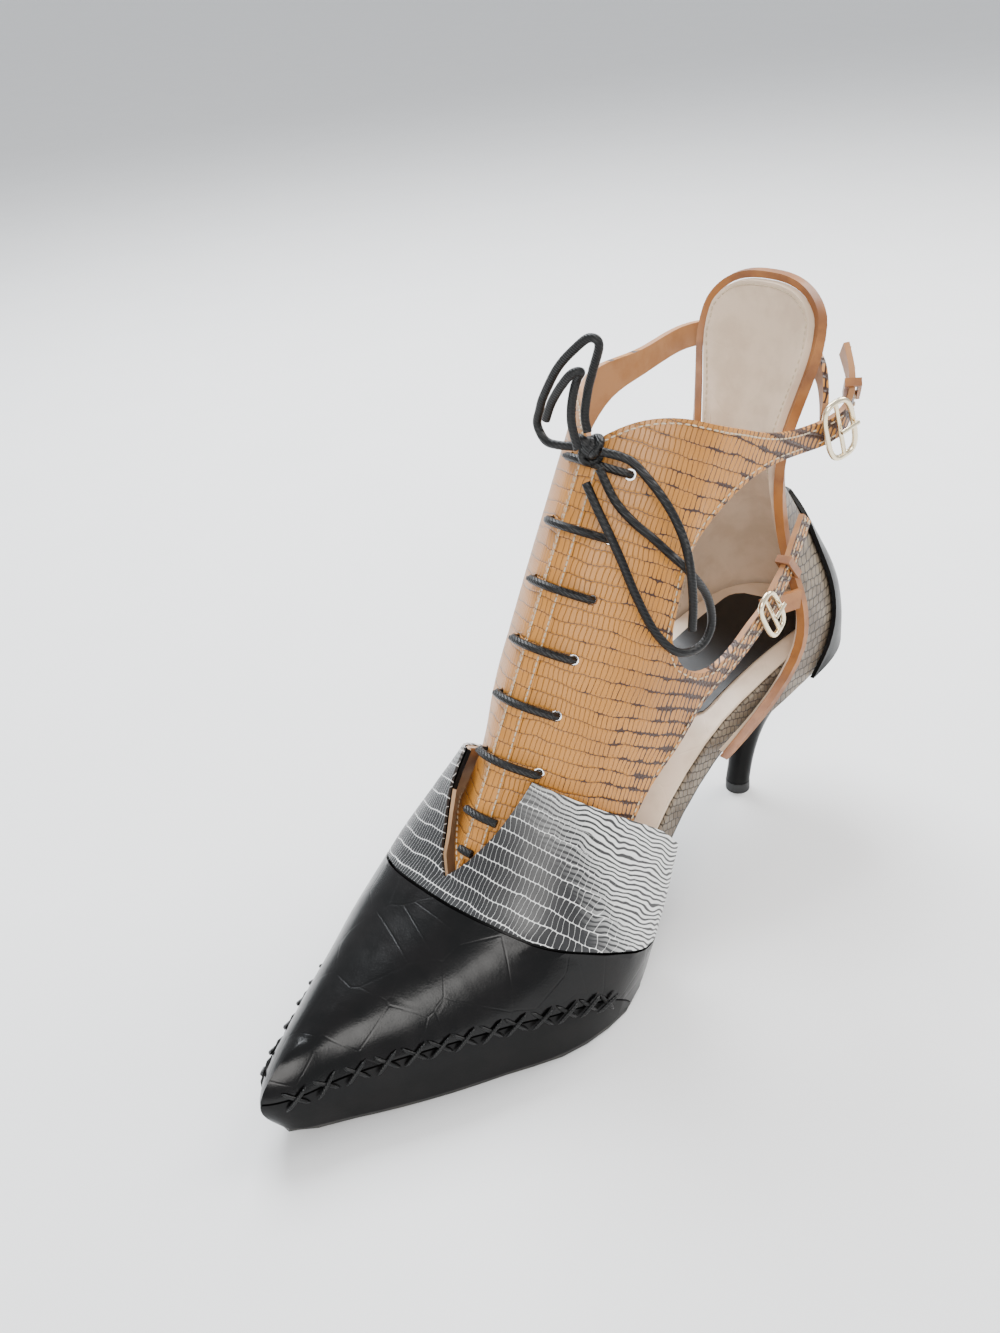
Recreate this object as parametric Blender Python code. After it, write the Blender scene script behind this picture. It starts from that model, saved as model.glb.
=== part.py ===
"""Left shoe of a lace-up heel: pointed toe box, printed band, laced instep, two buckled straps and a tall heel tab.

Metres, +Z up, toe toward -Y, outer side of the foot toward +X. The origin is on the floor under the ball of the
foot. Run with: blender --background --python part.py
"""

import math

import bmesh
import bpy
import numpy as np

# Sole: lengths lie along the ground, heights stand over the floor.
TOE_REACH = 0.090          # ball of the foot to the front of the insole board
HEEL_REACH = 0.1498        # ball of the foot to the back of the insole board
BALL_HALF = 0.0395         # half the width of the insole board at the ball
SEAT_HEIGHT = 0.061        # underside of the sole at the back of the seat
OUTSOLE_THICK = 0.0020
BOARD_THICK = 0.0088       # insole board at the waist, with its covered edge
SOCK_THICK = 0.0010
SOCK_MARGIN = 0.0008       # board edge left bare round the sock
TOE_ROUND = 0.0075         # stretch over which the front of the board rounds off
SEAT_ROUND = 0.0270        # the same at the back of the seat
EDGE_CHAMFER = 0.0005
SOLE_RINGS = 36            # rings of each layer of the sole along its length

# Upper: walls, gaps and the laced instep.
GAP = 0.0003               # between pieces that touch on the real shoe
LINING_WALL = 0.0013       # inner wall of the toe box
COVER_WALL = 0.0008        # cap, rand and band leather over it
FACING_WALL = 0.0018
COUNTER_WALL = 0.0024
BACKSTAY_WALL = 0.0014
SEAM_GAP = 0.0006          # groove between two cover leathers
RIDGE_START_BACK = -0.0155 # where the ridge of the instep meets the toe box
RIDGE_START_UP = 0.0518
RIDGE_SLOPE = math.radians(59.9)
RIDGE_LENGTH = 0.140
INSTEP_DEPTH = 0.048
INSTEP_HALF = 0.030
FRONT_SPLIT = 0.0007       # half the gap between the two facings
VAMP_BACK = 0.030          # ball to the back end of the toe box, along the feather line
VAMP_HEIGHT = 0.0795       # top of the band over the floor
COUNTER_TOP = 0.1880       # top of the heel tab over the floor
COUNTER_HALF = 0.0268      # half width of the counter outside
COUNTER_BACK = 0.1528      # ball to the back of the counter outside
ANKLE_BACK = 0.145         # ball to the back of the ankle strap
COLLAR_HEIGHT = 0.165      # collar over the floor
STRAP_WALL = 0.0016

# Heel.
HEEL_TIP_THICK = 0.0040
HEEL_HALF = 0.0240         # half width at the seat
HEEL_DEPTH_HALF = 0.0285   # half depth at the seat
HEEL_FOOT_BACK = 0.119     # ball to the middle of the heel tip

# Lace and buckles.
LACE_RADIUS = 0.00125
LACE_CLEAR = 0.0005        # between a lace bar and the leather under it
HOLE_RADIUS = 0.0017
LACE_OUTER = 0.0122        # ridge to the holes of the outer facing
LACE_INNER = 0.0072        # ridge to the holes of the inner facing
LACE_HUMP = 0.0036         # how far the slack bar stands off
KNOT_OUT = 0.0038          # middle of the knot
KNOT_BACK = 0.0439
KNOT_UP = 0.1619
KNOT_RADIUS = 0.0036
LOOP_REACH = 0.060
BUCKLE_WIRE = 0.0009       # radius of the frame
ANKLE_BUCKLE_LONG = 0.0190
ANKLE_BUCKLE_WIDE = 0.0100
LOW_BUCKLE_LONG = 0.0165
LOW_BUCKLE_WIDE = 0.0085
KEEPER_WIDE = 0.0026
KEEPER_WALL = 0.0010
PATCH_FRONT = 0.081        # ball to the front of the bare patch on the sock
PATCH_BACK = 0.139
PATCH_HALF = 0.0162
PATCH_THICK = 0.0004

SOLE_LENGTH = TOE_REACH + HEEL_REACH
COVER_OUT = COVER_WALL + 2 * GAP
VAMP_STAND = GAP + LINING_WALL + COVER_OUT

# Insole board seen from above: share of the sole's length, then half widths as shares of BALL_HALF.
# columns: along, outer side, inner side
BOARD_PLAN = [
    (0.000, 0.096, 0.110), (0.021, 0.120, 0.138), (0.046, 0.172, 0.186), (0.108, 0.365, 0.350),
    (0.175, 0.570, 0.509), (0.245, 0.770, 0.709), (0.290, 0.911, 0.838), (0.352, 0.990, 0.982),
    (0.381, 0.995, 1.000), (0.435, 0.937, 0.949), (0.485, 0.818, 0.823), (0.531, 0.689, 0.658),
    (0.581, 0.608, 0.532), (0.642, 0.570, 0.468), (0.704, 0.570, 0.481), (0.766, 0.587, 0.544),
    (0.828, 0.600, 0.590), (0.890, 0.600, 0.595), (1.000, 0.590, 0.590),
]

# Underside of the sole from the side. columns: along (share of the sole), height (share of SEAT_HEIGHT)
TREAD_LINE = [
    (0.000, 0.078), (0.041, 0.044), (0.103, 0.015), (0.165, 0.002), (0.199, 0.000), (0.399, 0.000),
    (0.422, 0.016), (0.456, 0.075), (0.497, 0.187), (0.538, 0.311), (0.609, 0.516), (0.684, 0.718),
    (0.762, 0.857), (0.828, 0.928), (0.928, 0.975), (1.000, 1.000),
]

# Thickness of the board. columns: along, share of BOARD_THICK
BOARD_LINE = [(0.00, 0.42), (0.38, 0.42), (0.48, 0.60), (0.56, 1.00), (0.70, 1.00), (0.82, 0.78), (1.00, 0.66)]

# Stations of the toe box and band behind its nose. columns: foot of the section on the feather line (share of
# TOE_REACH, toe negative), back (share of TOE_REACH) and height (share of VAMP_HEIGHT) of the ridge
VAMP_STATIONS = [
    (-0.955, -0.870, 0.372), (-0.850, -0.800, 0.402), (-0.690, -0.670, 0.446), (-0.510, -0.520, 0.497),
    (-0.345, -0.380, 0.548), (-0.160, -0.246, 0.612), (0.020, -0.166, 0.722), (0.180, -0.092, 0.862),
    (0.333, -0.018, 1.000),
]
NOTCH_STATION = 5          # row of the table above where the notch starts
NOSE_COLUMNS = 6           # columns round the nose, from its middle to the first station
RIDGE_SHIFT = 0.0045       # how far the ridge of the toe box lies to the inner side
NOSE_SQUARE = 2.6          # roundness of the sections: 2 is an ellipse, more is squarer
OUTER_SQUARE = 2.35
INNER_SQUARE = 3.6
BAND_CORNER = (0.480, 0.527)   # back top corner of the band: shares of TOE_REACH and VAMP_HEIGHT
NOSE_BULGE = 0.0052        # how far the nose stands past its top and bottom
OUTER_OVERHANG = 0.0018    # how far the sides of the toe box stand out over the sole
INNER_OVERHANG = 0.0054

# Section of the instep: how the form falls away from its ridge.
# columns: step, depth (share of INSTEP_DEPTH), half width (share of INSTEP_HALF)
INSTEP_SECTION = [
    (0.00, 0.000, 0.000), (0.10, 0.012, 0.100), (0.20, 0.036, 0.200), (0.35, 0.105, 0.370), (0.50, 0.205, 0.580),
    (0.65, 0.335, 0.770), (0.80, 0.530, 0.910), (1.00, 0.900, 1.000), (1.20, 1.500, 1.030),
]

# Half width of the band where it ends, from the ridge to the feather line, as a share of the width at its foot.
# columns: share of the way down, outer side, inner side
BAND_SECTION = [
    (0.000, 0.000, 0.000), (0.020, 0.210, 0.330), (0.055, 0.370, 0.520), (0.125, 0.640, 0.700),
    (0.185, 0.775, 0.800), (0.250, 0.850, 0.860), (0.380, 0.930, 0.935), (0.500, 0.985, 0.985),
    (0.750, 1.000, 1.000), (1.000, 1.000, 1.000),
]
NOTCH_OUTER = 0.225        # how far round the section the notch has opened at the top of the band
NOTCH_INNER = 0.235

# Rows of a facing, bottom to top: where the row meets the ridge and its back edge, as shares of RIDGE_LENGTH, the
# depth of that edge as a share of INSTEP_DEPTH, and how far the row tucks in under the band as a share of
# INSTEP_HALF. columns: ridge, edge, depth, tuck
FACING_ROWS = [
    (-0.050, 0.100, 0.700, 0.020), (0.043, 0.179, 0.800, 0.075), (0.143, 0.242, 0.867, 0.120),
    (0.257, 0.333, 0.954, 0.040), (0.343, 0.399, 0.988, 0.000), (0.443, 0.464, 0.833, 0.000),
    (0.529, 0.521, 0.688, 0.000), (0.571, 0.569, 0.556, 0.000), (0.614, 0.612, 0.540, 0.000),
    (0.664, 0.675, 0.517, 0.000), (0.714, 0.737, 0.500, 0.000), (0.771, 0.800, 0.479, 0.000),
    (0.821, 0.864, 0.448, 0.000), (0.864, 0.936, 0.406, 0.000), (0.900, 1.004, 0.354, 0.000),
]
LOW_STRAP_ROWS = (4, 6)    # rows of the table between which the lower strap leaves
TOP_STRAP_ROWS = (10, 14)  # the same for the ankle strap

# Straps past the facing. columns: lower edge back and up, upper edge back and up, out, lean of the upper edge
# outward; shares of ANKLE_BACK, COLLAR_HEIGHT and INSTEP_HALF
TOP_STRAP_OUTER = [
    (0.455, 0.827, 0.524, 0.982, 0.900, 0.00), (0.507, 0.855, 0.566, 0.967, 0.935, 0.00),
    (0.572, 0.876, 0.609, 0.950, 0.965, 0.00), (0.644, 0.882, 0.662, 0.933, 0.985, 0.00),
    (0.713, 0.876, 0.717, 0.921, 0.990, 0.00), (0.765, 0.870, 0.765, 0.915, 0.995, 0.00),
    (0.812, 0.871, 0.808, 0.917, 1.050, 0.00), (0.858, 0.884, 0.848, 0.929, 1.110, 0.02),
    (0.902, 0.912, 0.882, 0.950, 1.090, 0.06), (0.938, 0.952, 0.912, 0.986, 0.970, 0.10),
    (0.962, 0.992, 0.938, 1.024, 0.800, 0.12),
]
LOW_STRAP_OUTER = [
    (0.421, 0.494, 0.396, 0.556, 1.000, 0.00), (0.486, 0.512, 0.463, 0.551, 1.015, 0.00),
    (0.552, 0.536, 0.527, 0.573, 1.020, 0.00), (0.600, 0.551, 0.572, 0.588, 1.000, 0.00),
    (0.647, 0.568, 0.622, 0.603, 0.985, 0.00), (0.692, 0.599, 0.667, 0.632, 0.965, 0.00),
    (0.745, 0.628, 0.718, 0.658, 0.930, 0.00), (0.784, 0.660, 0.754, 0.688, 0.890, 0.00),
    (0.840, 0.696, 0.812, 0.720, 0.810, 0.00),
]
TOP_STRAP_INNER = [
    (0.455, 0.835, 0.524, 1.012, 0.900, 0.00), (0.515, 0.900, 0.560, 1.020, 0.925, 0.00),
    (0.590, 0.955, 0.610, 1.022, 0.900, 0.00), (0.680, 0.972, 0.685, 1.022, 0.870, 0.00),
    (0.770, 0.980, 0.770, 1.027, 0.900, 0.00), (0.850, 0.982, 0.850, 1.028, 0.920, 0.00),
    (0.908, 0.984, 0.908, 1.030, 0.750, 0.00), (0.930, 0.987, 0.930, 1.032, 0.400, 0.00),
    (0.934, 0.987, 0.934, 1.031, 0.050, 0.00), (0.930, 0.984, 0.930, 1.028, -0.250, 0.00),
    (0.916, 0.976, 0.918, 1.020, -0.500, 0.00), (0.890, 0.952, 0.898, 0.996, -0.720, 0.00),
    (0.856, 0.920, 0.866, 0.962, -0.870, 0.00), (0.832, 0.895, 0.842, 0.935, -0.950, 0.00),
]
LOW_STRAP_INNER = [
    (0.421, 0.494, 0.396, 0.556, 1.000, 0.00), (0.486, 0.512, 0.463, 0.551, 1.015, 0.00),
    (0.552, 0.536, 0.527, 0.576, 1.020, 0.00), (0.620, 0.562, 0.600, 0.604, 0.990, 0.00),
    (0.700, 0.580, 0.690, 0.624, 0.970, 0.00), (0.760, 0.587, 0.755, 0.631, 0.955, 0.00),
    (0.820, 0.590, 0.818, 0.634, 0.940, 0.00),
]
BASE_STRAP = [
    (0.766, 0.541, 0.772, 0.579, 0.950, 0.00),
    (0.712, 0.546, 0.712, 0.586, 0.890, 0.00), (0.655, 0.563, 0.645, 0.601, 0.885, 0.00),
]

# Levels of the counter and heel tab outside. columns: height (share of COUNTER_TOP), half width (share of
# COUNTER_HALF), back, outer front edge and inner front edge (shares of COUNTER_BACK), how far round an arc the
# level turns (share of a quarter turn)
COUNTER_LEVELS = [
    (0.270, 1.000, 0.998, 0.480, 0.480, 1.00), (0.300, 1.000, 0.999, 0.565, 0.565, 1.00),
    (0.325, 1.000, 1.000, 0.640, 0.640, 1.00), (0.365, 1.000, 1.000, 0.706, 0.706, 1.00),
    (0.395, 0.992, 0.996, 0.738, 0.738, 1.00), (0.434, 0.975, 0.987, 0.746, 0.746, 1.00),
    (0.470, 0.935, 0.973, 0.747, 0.747, 1.00), (0.520, 0.830, 0.946, 0.738, 0.740, 0.98),
    (0.593, 0.690, 0.902, 0.733, 0.738, 0.92), (0.635, 0.635, 0.868, 0.735, 0.740, 0.82),
    (0.682, 0.605, 0.826, 0.738, 0.742, 0.66), (0.735, 0.610, 0.798, 0.747, 0.748, 0.52),
    (0.790, 0.675, 0.817, 0.767, 0.767, 0.50), (0.840, 0.750, 0.839, 0.787, 0.787, 0.50),
    (0.895, 0.830, 0.853, 0.807, 0.807, 0.50), (0.935, 0.870, 0.857, 0.822, 0.822, 0.50),
    (1.000, 0.870, 0.855, 0.836, 0.836, 0.50),
]
COUNTER_SQUARE = 2.5       # roundness of the counter seen from above: 2 is an ellipse
TAB_SHOULDER = 0.895       # height of the tab's corners, share of COUNTER_TOP
BINDING_WIDE = 0.0022      # leather folded over the edge of the counter and tab
BINDING_WALL = 0.0030
BACKSTAY_TOP = 0.610       # top of the backstay at the middle, share of COUNTER_TOP
BACKSTAY_TURN = 0.62       # how far round from the middle it reaches, share of the side

# Heel sections from the floor to the seat. columns: share of the height, middle (share of HEEL_REACH),
# half depth (share of HEEL_DEPTH_HALF), half width (share of HEEL_HALF)
HEEL_SECTIONS = [
    (0.000, 0.785, 0.150, 0.185), (0.120, 0.794, 0.150, 0.182), (0.260, 0.808, 0.172, 0.200),
    (0.370, 0.822, 0.205, 0.232), (0.470, 0.836, 0.260, 0.290), (0.570, 0.848, 0.360, 0.390),
    (0.670, 0.856, 0.500, 0.520), (0.770, 0.855, 0.660, 0.670), (0.880, 0.847, 0.840, 0.840),
    (1.000, 0.836, 1.000, 1.000),
]

# Lace bars: place along the ridge, reach to each side as a share of the holes' reach, hump as a share of LACE_HUMP
LACE_BARS = [
    (0.024, 0.200, 0.0), (0.106, 0.520, 0.0), (0.230, 1.000, 0.0), (0.358, 1.000, 0.0), (0.479, 1.000, 0.0),
    (0.607, 1.000, 0.0), (0.733, 1.000, 1.0), (0.866, 1.000, 0.0),
]
FIRST_HOLE = 2             # the bars before this one lie in the notch and end on the leather

# Lace past the knot. columns: out, back and up from the knot, as shares of LOOP_REACH
UPPER_LOOP = [
    (-0.084, 0.000, -0.011), (-0.158, -0.048, -0.004), (-0.222, -0.065, 0.011), (-0.267, -0.065, 0.079),
    (-0.245, -0.065, 0.153), (-0.211, -0.065, 0.228), (-0.116, -0.057, 0.377), (-0.009, -0.040, 0.484),
    (0.052, -0.020, 0.528), (0.090, -0.005, 0.500), (0.031, 0.010, 0.369), (-0.004, 0.010, 0.275),
    (-0.016, -0.007, 0.159), (0.000, -0.012, 0.082),
]
UPPER_END = [
    (0.008, -0.090, 0.030), (-0.016, -0.095, 0.138), (-0.020, -0.088, 0.212), (-0.009, -0.080, 0.285),
    (0.014, -0.075, 0.352), (0.060, -0.098, 0.400), (0.030, -0.123, 0.395), (-0.031, -0.132, 0.329),
    (-0.096, -0.132, 0.242), (-0.141, -0.132, 0.151),
]
LOWER_LOOP = [
    (0.075, -0.028, -0.073), (0.169, -0.037, -0.202), (0.255, -0.010, -0.300), (0.330, 0.032, -0.376),
    (0.396, 0.086, -0.469), (0.470, 0.106, -0.528), (0.487, 0.224, -0.708), (0.487, 0.259, -0.880),
    (0.487, 0.173, -0.962), (0.470, 0.027, -0.933), (0.413, -0.063, -0.806), (0.338, -0.101, -0.628),
    (0.261, -0.113, -0.449), (0.205, -0.120, -0.335), (0.130, -0.112, -0.229), (0.050, -0.095, -0.125),
]
LOWER_END = [
    (0.092, -0.020, 0.010), (0.175, 0.020, -0.010), (0.240, 0.046, -0.050), (0.365, 0.072, -0.186),
    (0.450, 0.084, -0.326), (0.535, 0.040, -0.450), (0.560, 0.030, -0.635), (0.560, 0.020, -0.774),
]

# Outlines seen from the side, as shares of TOE_REACH and VAMP_HEIGHT.
CAP_SEAM = [(-0.345, 0.605), (-0.262, 0.538), (-0.175, 0.460), (-0.075, 0.396), (0.070, 0.308), (0.215, 0.224),
            (0.400, 0.190)]
RAND_SEAM = [(-1.20, 0.228), (-0.660, 0.256), (-0.330, 0.243), (-0.110, 0.195), (0.000, 0.138), (0.090, 0.035),
             (0.100, -0.100)]

BLACK_GLOSS = (0.012, 0.011, 0.011)
BLACK_SATIN = (0.022, 0.021, 0.021)
BAND_GREY = (0.42, 0.41, 0.40)
TAN = (0.56, 0.31, 0.10)
TAUPE = (0.30, 0.25, 0.20)
CREAM = (0.74, 0.64, 0.53)
GOLD = (0.78, 0.62, 0.36)


def smooth(table, at):
    """Read a table at places along its first column, with a curve that never overshoots its rows."""
    rows = np.array(table, float)
    keys, values = rows[:, 0], rows[:, 1:]
    at = np.clip(np.atleast_1d(np.asarray(at, float)), keys[0], keys[-1])
    steps = np.diff(keys)
    rises = np.diff(values, axis=0) / steps[:, None]
    slopes = np.zeros_like(values)
    slopes[0], slopes[-1] = rises[0], rises[-1]
    before, after = rises[:-1], rises[1:]
    total = before + after
    inner = np.where((before * after > 0) & (np.abs(total) > 0),
                     2 * before * after / np.where(total == 0, 1, total), 0)
    slopes[1:-1] = inner
    cell = np.clip(np.searchsorted(keys, at, side="right") - 1, 0, len(steps) - 1)
    width = steps[cell][:, None]
    t = ((at - keys[cell]) / steps[cell])[:, None]
    start, end = values[cell], values[cell + 1]
    return ((2 * t**3 - 3 * t**2 + 1) * start + (t**3 - 2 * t**2 + t) * width * slopes[cell]
            + (3 * t**2 - 2 * t**3) * end + (t**3 - t**2) * width * slopes[cell + 1])


def flowing(rows, count):
    """A smooth run of rows through the given ones, `count` steps between each pair."""
    rows = np.array(rows, float)
    padded = np.vstack([2 * rows[0] - rows[1], rows, 2 * rows[-1] - rows[-2]])
    out = []
    for k in range(1, len(padded) - 2):
        a, b, c, d = padded[k - 1:k + 3]
        for step in range(count):
            t = step / count
            out.append(0.5 * (2 * b + (c - a) * t + (2 * a - 5 * b + 4 * c - d) * t**2
                              + (3 * b - a - 3 * c + d) * t**3))
    out.append(rows[-1])
    return np.array(out)


def material(name, colour, roughness=0.5, metallic=0.0):
    """A plain Principled material."""
    made = bpy.data.materials.new(name)
    made.use_nodes = True
    shader = made.node_tree.nodes["Principled BSDF"]
    shader.inputs["Base Color"].default_value = (*colour, 1)
    shader.inputs["Roughness"].default_value = roughness
    shader.inputs["Metallic"].default_value = metallic
    return made


def add_object(name, mesh, finish):
    """Put a mesh in the scene as one named object with its material, shaded smooth between sharp edges."""
    made = bpy.data.objects.new(name, mesh)
    bpy.context.scene.collection.objects.link(made)
    mesh.materials.append(finish)
    mesh.shade_smooth()
    mesh.set_sharp_from_angle(angle=math.radians(40))
    return made


def mesh_of(name, points, faces):
    """A mesh with outward normals from points and faces."""
    mesh = bpy.data.meshes.new(name)
    mesh.from_pydata([tuple(map(float, p)) for p in points], [], faces)
    shaped = bmesh.new()
    shaped.from_mesh(mesh)
    bmesh.ops.remove_doubles(shaped, verts=shaped.verts, dist=0.00001)
    closed = not any(edge.is_boundary for edge in shaped.edges)
    if closed:
        bmesh.ops.recalc_face_normals(shaped, faces=shaped.faces)
    shaped.to_mesh(mesh)
    shaped.free()
    return mesh


def loft(rings, close=True):
    """Faces and points of a closed body through rings of equal length, with flat ends."""
    count = len(rings[0])
    points = [p for ring in rings for p in ring]
    faces = []
    for k in range(len(rings) - 1):
        for j in range(count):
            n = (j + 1) % count
            faces.append((k * count + j, k * count + n, (k + 1) * count + n, (k + 1) * count + j))
    if close:
        faces.append(tuple(reversed(range(count))))
        faces.append(tuple(range((len(rings) - 1) * count, len(rings) * count)))
    return points, faces


def thicken(target, wall):
    """Give an open sheet its wall on the inner side."""
    solid = target.modifiers.new("wall", "SOLIDIFY")
    solid.thickness = wall
    solid.offset = -1.0
    solid.use_even_offset = True
    solid.use_quality_normals = True
    solid.thickness_clamp = 0.0


def shift_sheet(mesh, distance):
    """Move an open sheet evenly along its normals, inward when the distance is below zero."""
    shares = [[0.0, 0] for _ in mesh.vertices]
    for face in mesh.polygons:
        for corner in face.vertices:
            shares[corner][0] += max(face.normal.dot(mesh.vertices[corner].normal), 0.3)
            shares[corner][1] += 1
    moved = [vertex.co + vertex.normal * (distance * share[1] / share[0]) if share[1] else vertex.co
             for vertex, share in zip(mesh.vertices, shares)]
    for vertex, place in zip(mesh.vertices, moved):
        vertex.co = place


def round_end(distance, reach, power=2.0):
    """Share of the full width a little way in from a rounded end."""
    q = np.clip(np.asarray(distance, float) / reach, 0, 1)
    return (1 - (1 - q)**power)**(1 / power)


def board_half(back, side):
    """Half width of the insole board at a distance back from the ball, on the outer or inner side."""
    share = (np.asarray(back, float) + TOE_REACH) / SOLE_LENGTH
    half = smooth(BOARD_PLAN, share)[:, 0 if side > 0 else 1] * BALL_HALF
    ends = round_end(back + TOE_REACH, TOE_ROUND) * round_end(HEEL_REACH - back, SEAT_ROUND, COUNTER_SQUARE)
    return half * ends


def tread(back):
    """Height of the sole's underside and its unit normal, from the side."""
    share = (np.atleast_1d(np.asarray(back, float)) + TOE_REACH) / SOLE_LENGTH
    height = smooth(TREAD_LINE, share)[:, 0] * SEAT_HEIGHT
    step = 0.002
    rise = (smooth(TREAD_LINE, share + step)[:, 0] - smooth(TREAD_LINE, share - step)[:, 0]) * SEAT_HEIGHT
    slope = rise / (2 * step * SOLE_LENGTH)
    normal = np.stack([-slope, np.ones_like(slope)], 1) / np.hypot(slope, 1)[:, None]
    return height, normal


def sole_stations(front, back, count):
    """Places along the sole, closer together at both rounded ends."""
    turn = np.linspace(0, math.pi, count)
    even = np.linspace(0, 1, count)
    mixed = 0.5 * even + 0.5 * (1 - np.cos(turn)) / 2
    return front + (back - front) * mixed


def layer_stations(front, back):
    """Places that all layers of the sole share, so that they lie on each other, with the layer's own two ends."""
    shared = sole_stations(-TOE_REACH - VAMP_STAND, HEEL_REACH, SOLE_RINGS)
    clear = SOLE_LENGTH / SOLE_RINGS / 6
    return [front, *[float(p) for p in shared if front + clear < p < back - clear], back]


def sole_layer(name, finish, low, high, margin, front, back, chamfer=EDGE_CHAMFER):
    """One layer of the sole between two heights over the tread, its edge moved out by the margin."""
    rings = []
    for place in layer_stations(front, back):
        height, normal = tread(place)
        share = (place + TOE_REACH) / SOLE_LENGTH
        down, up = low(share), high(share)
        grow = margin(share)
        sides = [max(float(board_half(place, s)[0]) + grow, 0.0012) for s in (1, -1)]
        cut = min(chamfer, (up - down) / 3, min(sides) / 2)

        def at(out, lift):
            return (out, place + float(normal[0, 0]) * lift, float(height[0]) + float(normal[0, 1]) * lift)

        outer, inner = sides
        rings.append([at(outer - cut, down), at(outer, down + cut), at(outer, up - cut), at(outer - cut, up),
                      at(0.0, up), at(-inner + cut, up), at(-inner, up - cut), at(-inner, down + cut),
                      at(-inner + cut, down), at(0.0, down)])
    return add_object(name, mesh_of(name, *loft(rings)), finish)


def board_top(share):
    """Height of the top of the board over the tread."""
    return OUTSOLE_THICK + GAP + float(smooth(BOARD_LINE, share)[0, 0]) * BOARD_THICK


def build_sole(finishes):
    """Outsole, covered insole board and sock."""
    step_in = (VAMP_BACK + TOE_REACH) / SOLE_LENGTH

    def outsole_margin(share):
        under_vamp = VAMP_STAND - 0.0004
        at_waist = -0.0010
        blend = np.clip((share - step_in) / 0.06, 0, 1)
        return float(under_vamp + (at_waist - under_vamp) * blend**2 * (3 - 2 * blend))

    sole_layer("outsole", finishes["sole"], lambda s: 0.0, lambda s: OUTSOLE_THICK, outsole_margin,
               -TOE_REACH - 0.0018, HEEL_REACH - 0.0008)
    sole_layer("insole_board", finishes["board"], lambda s: OUTSOLE_THICK + GAP, board_top, lambda s: 0.0,
               -TOE_REACH + 0.0002, HEEL_REACH - 0.0002)
    sole_layer("sock_lining", finishes["sock"], lambda s: board_top(s) + GAP,
               lambda s: board_top(s) + GAP + SOCK_THICK, lambda s: -SOCK_MARGIN,
               -TOE_REACH + 0.0015, HEEL_REACH - 0.0010, chamfer=0.0003)


def feather_line(side):
    """The foot of the toe box seen from above: (out, back) from the middle of the nose to the band's back end."""
    turn = np.linspace(0, math.pi / 2, 400)
    places = -TOE_REACH + (VAMP_BACK + 2 * VAMP_STAND + TOE_REACH) * (1 - np.cos(turn)) ** 1.6
    half = board_half(places, side)
    slope_out, slope_back = np.gradient(half), np.gradient(places)
    length = np.hypot(slope_out, slope_back)
    out = half + VAMP_STAND * slope_back / length
    back = places - VAMP_STAND * slope_out / length
    out[0], back[0] = 0.0, -TOE_REACH - VAMP_STAND
    return out, back


def vamp_columns(count):
    """Places of the columns of the toe box behind its nose, as shares of the rows of stations."""
    reach = 1.0 / (len(VAMP_STATIONS) - 1)
    notch = NOTCH_STATION * reach
    ahead = round(count * 0.62)
    shares = [notch * k / ahead for k in range(ahead + 1)]
    return shares + [notch + (1 - notch) * (k + 1) / (count - ahead) for k in range(count - ahead)]


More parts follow.
